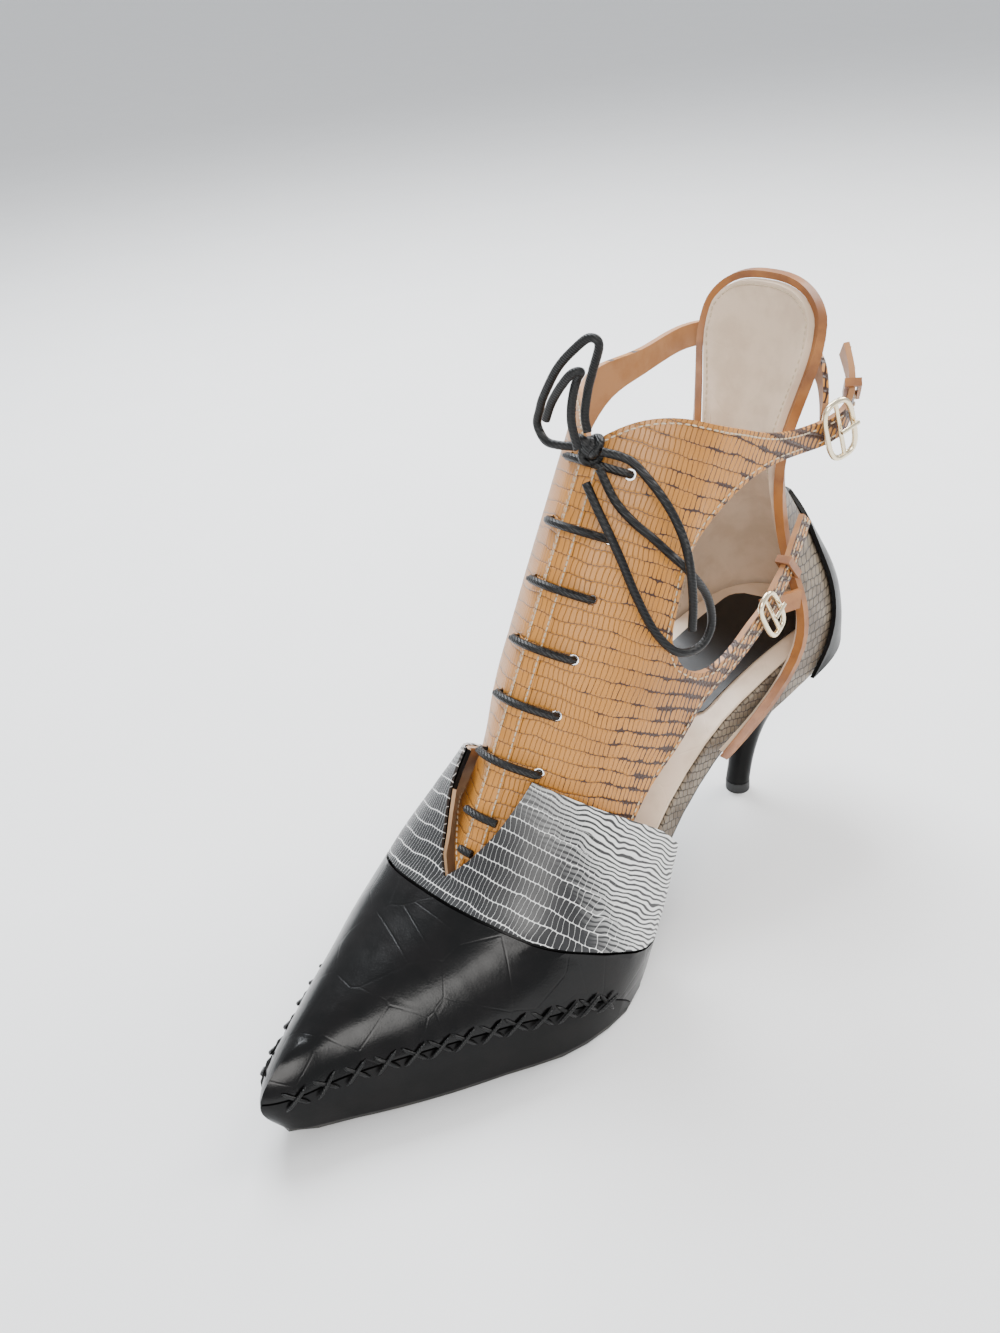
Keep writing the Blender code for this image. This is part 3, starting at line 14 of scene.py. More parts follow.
import bmesh
import bpy
import numpy as np
from mathutils import Matrix, Vector
from mathutils.bvhtree import BVHTree


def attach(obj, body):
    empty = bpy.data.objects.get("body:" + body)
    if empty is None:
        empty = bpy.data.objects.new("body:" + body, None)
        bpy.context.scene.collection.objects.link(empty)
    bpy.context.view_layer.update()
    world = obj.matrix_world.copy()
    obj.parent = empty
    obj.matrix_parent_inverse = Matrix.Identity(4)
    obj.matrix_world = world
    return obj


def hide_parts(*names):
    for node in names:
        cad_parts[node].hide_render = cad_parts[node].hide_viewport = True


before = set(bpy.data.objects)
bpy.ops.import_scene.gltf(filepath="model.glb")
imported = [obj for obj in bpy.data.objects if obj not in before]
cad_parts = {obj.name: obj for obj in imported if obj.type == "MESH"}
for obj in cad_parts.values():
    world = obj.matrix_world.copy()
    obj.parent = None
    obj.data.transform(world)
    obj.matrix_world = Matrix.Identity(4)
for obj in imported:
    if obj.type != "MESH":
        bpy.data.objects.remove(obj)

LOG = logging.getLogger("shoe")

Colour = tuple[float, float, float]
Point = Sequence[float]
Socket = bpy.types.NodeSocket
Value = Socket | float | Colour
OutwardTest = Callable[[Vector, Vector], bool]

# The straight ridge of the laced instep: its foot, its direction, and the way out of the leather there.
RIDGE_FOOT = (0.0, -0.0155, 0.0518)
RIDGE_RUN = (0.0, 0.501, 0.865)
RIDGE_OUT = (0.0, -0.865, 0.501)
RIDGE_IN = (0.0, 0.865, -0.501)


class Side(Enum):
    """Which side of the foot a piece lies on."""

    OUTER = 1
    INNER = -1


class Relief(Enum):
    """What kind of relief a leather carries."""

    PLAIN = "plain"
    SCALES = "scales"
    PRINT = "print"


def flowing(rows: Sequence[Point], count: int) -> np.ndarray:
    """A smooth run through the given rows.

    Args:
        rows: The places that the run passes.
        count: Steps between each pair of rows.

    Returns:
        The places of the run, one to a row.
    """
    given = np.array(rows, float)
    padded = np.vstack([2 * given[0] - given[1], given, 2 * given[-1] - given[-2]])
    out = []
    for k in range(1, len(padded) - 2):
        a, b, c, d = padded[k - 1:k + 3]
        for step in range(count):
            t = step / count
            out.append(0.5 * (2 * b + (c - a) * t + (2 * a - 5 * b + 4 * c - d) * t**2
                              + (3 * b - a - 3 * c + d) * t**3))
    out.append(given[-1])
    return np.array(out)


# Finishes


class Graph:
    """A material's node tree with short calls for the nodes used here."""

    def __init__(self, name: str) -> None:
        """Start a material with its Principled shader.

        Args:
            name: The material's name.
        """
        self.material = bpy.data.materials.new(name)
        self.material.use_nodes = True
        self.tree = self.material.node_tree
        self.shader = self.tree.nodes["Principled BSDF"]
        self.place = self.tree.nodes.new("ShaderNodeTexCoord").outputs["Object"]

    def link(self, source: Value, target: Socket) -> None:
        """Join an output to an input, or set the input to a number or a colour.

        Args:
            source: The output, number or colour.
            target: The input.
        """
        if isinstance(source, (int, float)):
            target.default_value = source
        elif isinstance(source, tuple):
            target.default_value = (*source, 1.0)
        else:
            self.tree.links.new(source, target)

    def paint(self, colour: Value) -> None:
        """Give the shader its colour."""
        self.link(colour, self.shader.inputs["Base Color"])

    def math(self, kind: str, a: Value, b: Value = 0.0, c: Value = 0.0) -> Socket:
        """One Math node.

        Args:
            kind: The node's operation.
            a: First value.
            b: Second value.
            c: Third value.

        Returns:
            The node's output.
        """
        node = self.tree.nodes.new("ShaderNodeMath")
        node.operation = kind
        for value, socket in zip((a, b, c), node.inputs):
            self.link(value, socket)
        return node.outputs[0]

    def along(self, direction: Point, origin: Point = (0.0, 0.0, 0.0)) -> Socket:
        """Distance along a direction from an origin.

        Args:
            direction: The direction.
            origin: Where the distance is 0.

        Returns:
            The distance in metres.
        """
        shifted = self.tree.nodes.new("ShaderNodeVectorMath")
        shifted.operation = "SUBTRACT"
        self.link(self.place, shifted.inputs[0])
        shifted.inputs[1].default_value = tuple(origin)
        dot = self.tree.nodes.new("ShaderNodeVectorMath")
        dot.operation = "DOT_PRODUCT"
        self.link(shifted.outputs[0], dot.inputs[0])
        dot.inputs[1].default_value = tuple(direction)
        return dot.outputs["Value"]

    def noise(self, size: float, detail: float = 3.0, rough: float = 0.55) -> Socket:
        """Soft random clouds.

        Args:
            size: About how wide a cloud is, in metres.
            detail: How many finer layers it has.
            rough: How strong the finer layers are.

        Returns:
            A value of about 0 to 1.
        """
        node = self.tree.nodes.new("ShaderNodeTexNoise")
        self.link(self.place, node.inputs["Vector"])
        node.inputs["Scale"].default_value = 1 / size
        node.inputs["Detail"].default_value = detail
        node.inputs["Roughness"].default_value = rough
        return node.outputs["Fac"]

    def cracks(self, size: float) -> Socket:
        """Irregular plates.

        Args:
            size: About how wide a plate is, in metres.

        Returns:
            The distance to the plate's edge, as a share of its size.
        """
        node = self.tree.nodes.new("ShaderNodeTexVoronoi")
        node.feature = "DISTANCE_TO_EDGE"
        self.link(self.place, node.inputs["Vector"])
        node.inputs["Scale"].default_value = 1 / size
        return node.outputs["Distance"]

    def step(self, value: Value, low: float, high: float) -> Socket:
        """Rise softly from 0 to 1 between two values.

        Args:
            value: What is measured.
            low: Where the rise starts.
            high: Where it ends.

        Returns:
            The share risen.
        """
        node = self.tree.nodes.new("ShaderNodeMapRange")
        node.interpolation_type = "SMOOTHSTEP"
        self.link(value, node.inputs["Value"])
        node.inputs["From Min"].default_value = low
        node.inputs["From Max"].default_value = high
        return node.outputs["Result"]

    def mix(self, share: Value, a: Value, b: Value) -> Socket:
        """Mix two colours.

        Args:
            share: How much of the second colour there is.
            a: First colour.
            b: Second colour.

        Returns:
            The mixed colour.
        """
        node = self.tree.nodes.new("ShaderNodeMix")
        node.data_type = "RGBA"
        factor, first, second, result = node.inputs[0], node.inputs[6], node.inputs[7], node.outputs[2]
        self.link(share, factor)
        self.link(a, first)
        self.link(b, second)
        return result

    def bump(self, height: Value, depth: float, strength: float = 1.0, below: Socket | None = None) -> Socket:
        """Relief in the shading.

        Args:
            height: Height from 0 to 1.
            depth: How deep the relief is, in metres.
            strength: How much of it shows.
            below: Relief that this one lies on.

        Returns:
            The bent normal.
        """
        node = self.tree.nodes.new("ShaderNodeBump")
        node.inputs["Strength"].default_value = strength
        node.inputs["Distance"].default_value = depth
        self.link(height, node.inputs["Height"])
        if below is not None:
            self.link(below, node.inputs["Normal"])
        return node.outputs[0]

    def cells(self, u: Value, v: Value, high: float, wide: float) -> Socket:
        """Rows of small rounded cells, each row moved on by half a cell.

        Args:
            u: Distance across the rows.
            v: Distance along the rows.
            high: Height of a row.
            wide: Length of a cell.

        Returns:
            Height from 0 in the grooves to 1.
        """
        rows = self.math("DIVIDE", u, high)
        row = self.math("FLOOR", rows)
        stagger = self.math("MULTIPLY", self.math("FLOORED_MODULO", row, 2.0), 0.5)
        across = self.math("SUBTRACT", rows, row)
        ribs = self.math("ADD", self.math("DIVIDE", v, wide), stagger)
        rib = self.math("SUBTRACT", ribs, self.math("FLOOR", ribs))
        domes = []
        for share in (across, rib):
            from_middle = self.math("ABSOLUTE", self.math("MULTIPLY_ADD", share, 2.0, -1.0))
            domes.append(self.math("SUBTRACT", 1.0, self.math("POWER", from_middle, 4.0)))
        return self.math("MULTIPLY", *domes)


@dataclass(frozen=True)
class Rows:
    """How rows of cells lie on a leather."""

    high: float = 0.0044  # from row to row
    wide: float = 0.0020  # from cell to cell
    across: Point = RIDGE_RUN  # direction from row to row
    beside: float = 0.9  # how much a step to the side counts along a row
    along: Point = RIDGE_IN  # direction along a row in the shoe's middle plane
    sway: float = 0.0035  # how far the rows wander
    sway_size: float = 0.014

    def lay(self, graph: Graph) -> tuple[Socket, Socket, Socket]:
        """Measure the rows over the surface.

        Args:
            graph: The leather's graph.

        Returns:
            Distance across the rows, the cells' height, and the rows' wandering.
        """
        drift = graph.math("SUBTRACT", graph.noise(self.sway_size, 2.0), 0.5)
        wave = graph.math("MULTIPLY", drift, self.sway)
        u = graph.math("ADD", graph.along(self.across), wave)
        beside = graph.math("MULTIPLY", graph.math("ABSOLUTE", graph.along((1, 0, 0))), self.beside)
        v = graph.math("ADD", graph.math("ADD", beside, graph.along(self.along)), wave)
        return u, graph.cells(u, v, self.high, self.wide), wave


@dataclass(frozen=True)
class Leather:
    """One leather: colours, gloss and relief."""

    name: str
    slot: str
    light: Colour
    dark: Colour
    roughness: float = 0.5
    coat: float = 0.0
    shine: float = 0.5
    relief: Relief = Relief.PLAIN
    rows: Rows = Rows()
    patches: float = 0.012  # size of the lighter and darker clouds
    creases: float = 0.0  # depth of soft creases
    spotted: bool = False  # dark dashes toward the back and the sole
    grain: float = 0.0006
    grain_depth: float = 0.00006
    scale_depth: float = 0.00035
    print_depth: float = 0.0003
    plate: float = 0.015
    plate_depth: float = 0.0001
    ink: Colour = (0.012, 0.012, 0.013)
    fine_ink: Colour = (0.03, 0.03, 0.03)

    def build(self) -> bpy.types.Material:
        """Make the material.

        Returns:
            The finished material.
        """
        graph = Graph(self.name)
        patch = graph.step(graph.noise(self.patches, 4.0), 0.40, 0.66)
        shade = tuple(0.7 * a + 0.3 * b for a, b in zip(self.light, self.dark)) if self.spotted else self.dark
        colour = graph.mix(patch, self.light, shade)
        normal = graph.bump(graph.noise(self.grain, 4.0), self.grain_depth, 0.55)
        if self.relief is Relief.SCALES:
            colour, normal = self.scales(graph, colour, normal)
        elif self.relief is Relief.PRINT:
            colour, normal = self.printed(graph, normal)
        if self.creases:
            soft = graph.bump(graph.noise(0.020, 2.0), self.creases, 0.6, normal)
            edges = graph.step(graph.cracks(self.plate), 0.0, 0.03)
            normal = graph.bump(edges, self.plate_depth, 0.30, soft)
        worn = graph.math("MULTIPLY_ADD", graph.noise(0.006), 0.22, self.roughness - 0.11)
        graph.paint(colour)
        graph.link(normal, graph.shader.inputs["Normal"])
        graph.link(worn, graph.shader.inputs["Roughness"])
        graph.shader.inputs["Coat Weight"].default_value = self.coat
        graph.shader.inputs["Coat Roughness"].default_value = 0.12
        graph.shader.inputs["Specular IOR Level"].default_value = self.shine
        return graph.material

    def scales(self, graph: Graph, colour: Socket, grain: Socket) -> tuple[Socket, Socket]:
        """Press rows of scales into the leather, with dark grooves.

        Args:
            graph: The leather's graph.
            colour: The leather's colour without scales.
            grain: The leather's fine relief.

        Returns:
            The colour and the relief with scales.
        """
        _, height, _ = self.rows.lay(graph)
        ridge = graph.step(height, 0.05, 0.75)
        painted = self.dashes(graph, height) if self.spotted else ridge
        groove = tuple(0.35 * c for c in self.dark)
        return graph.mix(painted, groove, colour), graph.bump(ridge, self.scale_depth, 0.8, grain)

    def dashes(self, graph: Graph, height: Socket) -> Socket:
        """Widen the dark grooves into dashes, more of them the further behind the ridge.

        Args:
            graph: The leather's graph.
            height: The scales' height.

        Returns:
            How much of the scale keeps its own colour.
        """
        deep = graph.along(RIDGE_IN, RIDGE_FOOT)
        speck = graph.math("ADD", graph.noise(0.005), graph.math("MULTIPLY", deep, 10.0))
        spread = graph.math("MULTIPLY", graph.step(speck, 0.62, 1.05), 0.75)
        return graph.step(graph.math("SUBTRACT", height, spread), 0.02, 0.22)

    def printed(self, graph: Graph, grain: Socket) -> tuple[Socket, Socket]:
        """Print dark bars in white rows in front, and fine wavy lines behind them.

        Args:
            graph: The leather's graph.
            grain: The leather's fine relief.

        Returns:
            The printed colour and the relief.
        """
        u, height, wave = self.rows.lay(graph)
        bars = graph.step(height, 0.10, 0.24)
        front = graph.mix(bars, self.light, self.ink)
        lines = graph.math("SINE", graph.math("MULTIPLY", graph.math("ADD", u, wave), 4400.0))
        behind = graph.mix(graph.step(lines, -0.1, 0.5), self.light, self.fine_ink)
        rear = graph.step(graph.math("ADD", graph.along((0, 1, 0)), wave), -0.004, 0.014)
        return graph.mix(rear, front, behind), graph.bump(bars, self.print_depth, 0.7, grain)


@dataclass(frozen=True)
class Metal:
    """A polished plated metal."""

    name: str
    slot: str
    tint: Colour
    roughness: float = 0.14
    wear: float = 0.18

    def build(self) -> bpy.types.Material:
        """Make the material.

        Returns:
            The finished material.
        """
        graph = Graph(self.name)
        graph.paint(self.tint)
        worn = graph.math("MULTIPLY_ADD", graph.noise(0.002), self.wear, self.roughness)
        graph.link(worn, graph.shader.inputs["Roughness"])
        graph.link(graph.bump(graph.noise(0.0015), 0.00003, 0.3), graph.shader.inputs["Normal"])
        graph.shader.inputs["Metallic"].default_value = 1.0
        return graph.material


@dataclass(frozen=True)
class Thread:
    """A waxed cord or sewing thread with its twist."""

    name: str
    slot: str
    tint: Colour
    twist: float = 0.0009
    roughness: float = 0.42

    def build(self) -> bpy.types.Material:
        """Make the material.

        Returns:
            The finished material.
        """
        graph = Graph(self.name)
        graph.paint(graph.mix(graph.noise(0.004), self.tint, tuple(0.6 * c for c in self.tint)))
        spin = graph.math("SINE", graph.math("MULTIPLY", graph.along((0.6, 0.5, 1.0)), 6.283 / self.twist))
        graph.link(graph.bump(spin, 0.00008, 0.6), graph.shader.inputs["Normal"])
        graph.shader.inputs["Roughness"].default_value = self.roughness
        graph.shader.inputs["Specular IOR Level"].default_value = 0.3
        return graph.material


TAUPE: dict[str, Colour] = {"light": (0.21, 0.165, 0.115), "dark": (0.11, 0.078, 0.050)}

# The first finish of a slot is the slot's own.
FINISHES: tuple[Leather | Metal | Thread, ...] = (
    Leather("cap_gloss", "glossy_black_leather", (0.0015, 0.0015, 0.0015), (0.0025, 0.002, 0.002),
            roughness=0.22, coat=0.05, shine=0.22, creases=0.0006),
    Leather("satin", "satin_black_leather", (0.002, 0.002, 0.002), (0.004, 0.0035, 0.0035),
            roughness=0.34, coat=0.03, shine=0.13),
    Leather("lining", "lining_leather", (0.52, 0.36, 0.22), (0.44, 0.29, 0.17), roughness=0.6),
    Leather("band_print", "printed_band_leather", (0.80, 0.80, 0.78), (0.66, 0.66, 0.64),
            roughness=0.42, coat=0.05, relief=Relief.PRINT,
            rows=Rows(0.0048, 0.0013, (0.0, 0.72, 0.69), 1.0, (0.0, 0.1, 0.0))),
    Leather("scales_tan", "tan_embossed_leather", (0.50, 0.205, 0.030), (0.115, 0.034, 0.010),
            roughness=0.42, coat=0.08, relief=Relief.SCALES, patches=0.05, spotted=True),
    Leather("facing_inside", "tan_embossed_leather", (0.40, 0.19, 0.075), (0.33, 0.145, 0.05),
            roughness=0.55),
    Leather("scales_taupe", "grey_beige_leather", **TAUPE, roughness=0.46, coat=0.1, relief=Relief.SCALES,
            rows=Rows(0.0030, 0.0022, (0.0, 0.15, 1.0), 0.8, (0.0, 0.9, -0.1))),
    Leather("scales_edge", "board_edge_leather", **TAUPE, roughness=0.5, relief=Relief.SCALES,
            rows=Rows(0.0026, 0.0022, (0.0, 0.3, 1.0), 0.3, (0.0, 1.0, -0.1))),
    Leather("sock", "cream_sock_leather", (0.70, 0.55, 0.41), (0.60, 0.46, 0.33),
            roughness=0.46, coat=0.1, creases=0.0003),
    Leather("outsole", "outsole_leather", (0.016, 0.015, 0.014), (0.03, 0.027, 0.024), roughness=0.55),
    Leather("tip", "heel_tip_rubber", (0.010, 0.010, 0.010), (0.016, 0.016, 0.016), roughness=0.6),
    Leather("patch", "bare_patch_leather", (0.004, 0.004, 0.004), (0.007, 0.006, 0.006),
            roughness=0.4, shine=0.3),
    Leather("strap", "tan_strap_leather", (0.33, 0.125, 0.028), (0.20, 0.070, 0.018),
            roughness=0.46, coat=0.05),
    Metal("pale_gold", "pale_gold_metal", (0.86, 0.74, 0.52)),
    Thread("cord", "waxed_cord", (0.004, 0.004, 0.004)),
    Thread("pale_thread", "cream_sock_leather", (0.72, 0.58, 0.40), twist=0.0004, roughness=0.6),
)


class Finishes:
    """Every finish of the shoe, made once and looked up by its name or its slot in the record."""

    def __init__(self) -> None:
        """Build all finishes."""
        self.by_name = {finish.name: finish.build() for finish in FINISHES}
        self.by_slot = {finish.slot: self.by_name[finish.name] for finish in reversed(FINISHES)}


# Pieces


def settle(piece: bpy.types.Object, slot: str, *nodes: str) -> bpy.types.Object:
    """Let a piece ride on the shoe.

    Args:
        piece: The new object.
        slot: The record's slot of its finish; not used.
        nodes: CAD nodes that it stands for.

    Returns:
        The same piece.
    """
    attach(piece, "root")
    if nodes:
        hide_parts(*nodes)
    LOG.info("piece %s", piece.name)
    return piece


def new_object(name: str, data: bpy.types.ID) -> bpy.types.Object:
    """Link a new object to the scene.

    Args:
        name: The object's name.
        data: Its mesh, curve, camera or lamp.

    Returns:
        The object.
    """
    made = bpy.data.objects.new(name, data)
    bpy.context.scene.collection.objects.link(made)
    return made


def new_sheet(name: str, points: Sequence[Vector], faces: Sequence[tuple[int, ...]],
              material: bpy.types.Material) -> bpy.types.Object:
    """Link a smooth new mesh to the scene.

    Args:
        name: The mesh's and the object's name.
        points: Its corners.
        faces: Its faces.
        material: Its finish.

    Returns:
        The object.
    """
    mesh = bpy.data.meshes.new(name)
    mesh.from_pydata([tuple(p) for p in points], [], faces)
    mesh.materials.append(material)
    mesh.shade_smooth()
    return new_object(name, mesh)


@dataclass
class Skin:
    """A CAD node carried over as a smooth piece: welded, back in quads, with its sharp edges kept."""

    node: str
    rounds: int = 0  # how often the mesh is rounded
    sharp_angle: float = math.radians(38)
    outside: str = ""  # finish of the outside, if not the slot's own
    lining: str = ""  # finish of the inside, if it has one
    outward: OutwardTest | None = None
    body: bmesh.types.BMesh = field(default=None, repr=False)

    def weld(self) -> bmesh.types.BMesh:
        """Join the split corners of the node's mesh, and its triangles in pairs.

        Returns:
            The welded mesh.
        """
        made = bmesh.new()
        made.from_mesh(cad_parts[self.node].data)
        bmesh.ops.remove_doubles(made, verts=made.verts, dist=1e-6)
        bmesh.ops.join_triangles(made, faces=made.faces, cmp_seam=False, cmp_sharp=False, cmp_uvs=False,
                                 cmp_vcols=False, cmp_materials=False, angle_face_threshold=math.radians(25),
                                 angle_shape_threshold=math.radians(60))
        made.normal_update()
        return made

    def mark(self) -> None:
        """Mark the sharp edges and the faces of the inside."""
        crease = self.body.edges.layers.float.new("crease_edge") if self.rounds else None
        for edge in self.body.edges:
            hard = len(edge.link_faces) != 2 or edge.calc_face_angle(0.0) > self.sharp_angle
            edge.smooth = not hard
            if crease is not None:
                edge[crease] = 1.0 if hard else 0.0
        for face in self.body.faces:
            face.smooth = True
            if self.lining and not self.outward(face.calc_center_median(), face.normal):
                face.material_index = 1

    def dress(self, finishes: Finishes, slot: str) -> bpy.types.Object:
        """Make the piece with its finish.

        Args:
            finishes: The shoe's finishes.
            slot: The record's slot of this node.

        Returns:
            The new object, standing for the node.
        """
        self.body = self.weld()
        self.mark()
        mesh = bpy.data.meshes.new(self.node + "_skin")
        self.body.to_mesh(mesh)
        mesh.materials.append(finishes.by_name[self.outside] if self.outside else finishes.by_slot[slot])
        if self.lining:
            mesh.materials.append(finishes.by_name[self.lining])
        made = new_object(self.node + "_skin", mesh)
        if self.rounds:
            smooth = made.modifiers.new("rounds", "SUBSURF")
            smooth.levels = smooth.render_levels = self.rounds
        return settle(made, slot, self.node)


@dataclass
class Stitches:
    """Many small capsules of thread joined in one mesh."""

    name: str
    length: float
    radius: float
    sides: int = 6
    # Rings of a stitch: place along it, thickness and lift, as shares of its length and radius.
    rings: tuple[Point, ...] = ((-0.5, 0.25, -0.3), (-0.32, 1.0, 0.35), (0.32, 1.0, 0.35), (0.5, 0.25, -0.3))
    points: list[Vector] = field(default_factory=list)
    faces: list[tuple[int, ...]] = field(default_factory=list)

    def add(self, place: Vector, run: Vector, normal: Vector) -> None:
        """Lay one stitch.

        Args:
            place: Its middle on the leather.
            run: Its direction.
            normal: The leather's normal there.
        """
        run = run.normalized()
        side = run.cross(normal).normalized()
        up = side.cross(run)
        base = len(self.points)
        for at, thick, lift in self.rings:
            middle = place + run * at * self.length
            for k in range(self.sides):
                angle = 2 * math.pi * k / self.sides
                beside = side * math.cos(angle) * thick
                above = up * (math.sin(angle) * thick + lift)
                self.points.append(middle + (beside + above) * self.radius)
        last = base + self.sides * (len(self.rings) - 1)
        for ring in range(base, last, self.sides):
            for k in range(self.sides):
                n = (k + 1) % self.sides
                self.faces.append((ring + k, ring + n, ring + self.sides + n, ring + self.sides + k))
        self.faces.append(tuple(base + k for k in reversed(range(self.sides))))
        self.faces.append(tuple(last + k for k in range(self.sides)))

    def finish(self, material: bpy.types.Material, slot: str) -> bpy.types.Object:
        """The joined mesh of all stitches, riding on the shoe."""
        return settle(new_sheet(self.name, self.points, self.faces, material), slot)


@dataclass
class RimSeam:
    """Stitches that follow the rim of a leather on one side, a little way in from its edge."""

    wall: float
    outward: OutwardTest
    inset: float = 0.0015
    pitch: float = 0.0022
    shortest: float = 0.0013  # shorter edges get no stitch
    rim_angle: float = math.radians(50)
    reach: float = 0.0012  # how far the leather may be from a stitch's place

    def surface(self, edge: bmesh.types.BMEdge) -> bmesh.types.BMFace | None:
        """Find the leather's face beside a rim edge.

        Args:
            edge: An edge of the leather.

        Returns:
            The face on the sewn side, or None where the edge is no rim of that side.
        """
        long = edge.calc_length()
        if len(edge.link_faces) != 2 or long < self.shortest or edge.calc_face_angle(0.0) < self.rim_angle:
            return None
        rim, face = sorted(edge.link_faces, key=lambda f: abs(f.calc_area() / long - self.wall))
        if abs(rim.calc_area() / long - self.wall) > 0.5 * self.wall:
            return None
        middle = (edge.verts[0].co + edge.verts[1].co) / 2
        return face if self.outward(middle, face.normal) else None

    def sew(self, stitches: Stitches, body: bmesh.types.BMesh) -> None:
        """Lay the seam.

        Args:
            stitches: Where the stitches go.
            body: The welded mesh of the leather.
        """
        tree = BVHTree.FromBMesh(body)
        for edge in body.edges:
            face = self.surface(edge)
            if face is None:
                continue
            first, second = (corner.co for corner in edge.verts)
            run = (second - first).normalized()
            inward = face.normal.cross(run)
            if inward.dot(face.calc_center_median() - (first + second) / 2) < 0:
                inward = -inward
            count = max(1, round(edge.calc_length() / self.pitch))
            for k in range(count):
                at = first.lerp(second, (k + 0.5) / count) + inward * self.inset
                place, normal, _, gap = tree.find_nearest(at)
                if place is not None and gap < self.reach and normal.dot(face.normal) > 0.6:
                    stitches.add(place, run, normal)


def from_middle(place: Vector) -> Vector:
    """The level way to a place from the middle of the heel, or of the waist in front of it."""
    return place - Vector((0.0, 0.095 if place.y > 0.1 else 0.075, place.z))


def faces_out(place: Vector, normal: Vector) -> bool:
    """Whether a face of the facings or the toe box lies on its outside."""
    return normal.dot(from_middle(place)) > 0


def counter_out(place: Vector, normal: Vector) -> bool:
    """Whether a face of the counter lies on its outside; its rim counts as inside."""
    return normal.dot(from_middle(place).normalized()) > 0.6


def counter_in(place: Vector, normal: Vector) -> bool:
    """Whether a face of the counter lies on its inside, for its inner seam."""
    return normal.dot(place - Vector((0.0, 0.10, place.z))) < 0


@dataclass(frozen=True)
class Dressing:
    """How one leather of the upper is finished."""

    slot: str
    rounds: int = 1
    outside: str = ""
    lining: str = ""


UPPER_LEATHERS: dict[str, Dressing] = {
    "upper_vamp": Dressing("lining_leather", 0, outside="satin", lining="lining"),
    "toe_rand": Dressing("satin_black_leather"),
    "toe_cap": Dressing("glossy_black_leather"),
    "vamp_band": Dressing("printed_band_leather"),
    "upper_facing_outer": Dressing("tan_embossed_leather", lining="facing_inside"),
    "upper_facing_inner": Dressing("tan_embossed_leather", lining="facing_inside"),
    "upper_counter": Dressing("grey_beige_leather", lining="sock"),
    "counter_binding": Dressing("tan_strap_leather"),
    "backstay": Dressing("satin_black_leather"),
    "lower_base_strap": Dressing("tan_strap_leather", 0),
    "ankle_keeper": Dressing("tan_strap_leather", 0),
    "lower_keeper": Dressing("tan_strap_leather", 0),
}


@dataclass(frozen=True)
class SeamSize:
    """Sizes of the pale seams."""

    length: float = 0.0016
    radius: float = 0.00026
    facing_wall: float = 0.0018
    counter_wall: float = 0.0024
    counter_inset: float = 0.0012


@dataclass(frozen=True)
class CrossSize:
    """Sizes of the crossed stitches over the seam of cap and rand."""

    line: tuple[Point, ...] = ((-0.099, 0.0183), (-0.0594, 0.0204), (-0.0297, 0.0193), (-0.0099, 0.0155),
                               (-0.003, 0.0125))  # the seam: place along the shoe and height
    length: float = 0.0088
    radius: float = 0.00062
    pitch: float = 0.0070
    above: float = 0.0009  # the leather is looked for this far above the seam's groove
    along: float = 0.78  # lean of a stitch
    rise: float = 0.62
    lift: float = 0.0003


@dataclass(frozen=True)
class LapSize:
    """Sizes of the folded front edge of the outer facing."""

    start: float = 0.001
    length: float = 0.1235
    steps: int = 70
    across: tuple[float, ...] = (-0.0019, -0.0016, -0.0006, 0.0006, 0.0018, 0.0030, 0.0042, 0.0046)
    lift: tuple[float, ...] = (0.0001, 0.00075, 0.00095, 0.00085, 0.00075, 0.00070, 0.00065, 0.0001)
    beside: float = 0.0009  # the leather is looked for this far from the gap between the facings
    above: float = 0.03
    seams: tuple[int, int] = (2, 6)  # columns that carry a seam


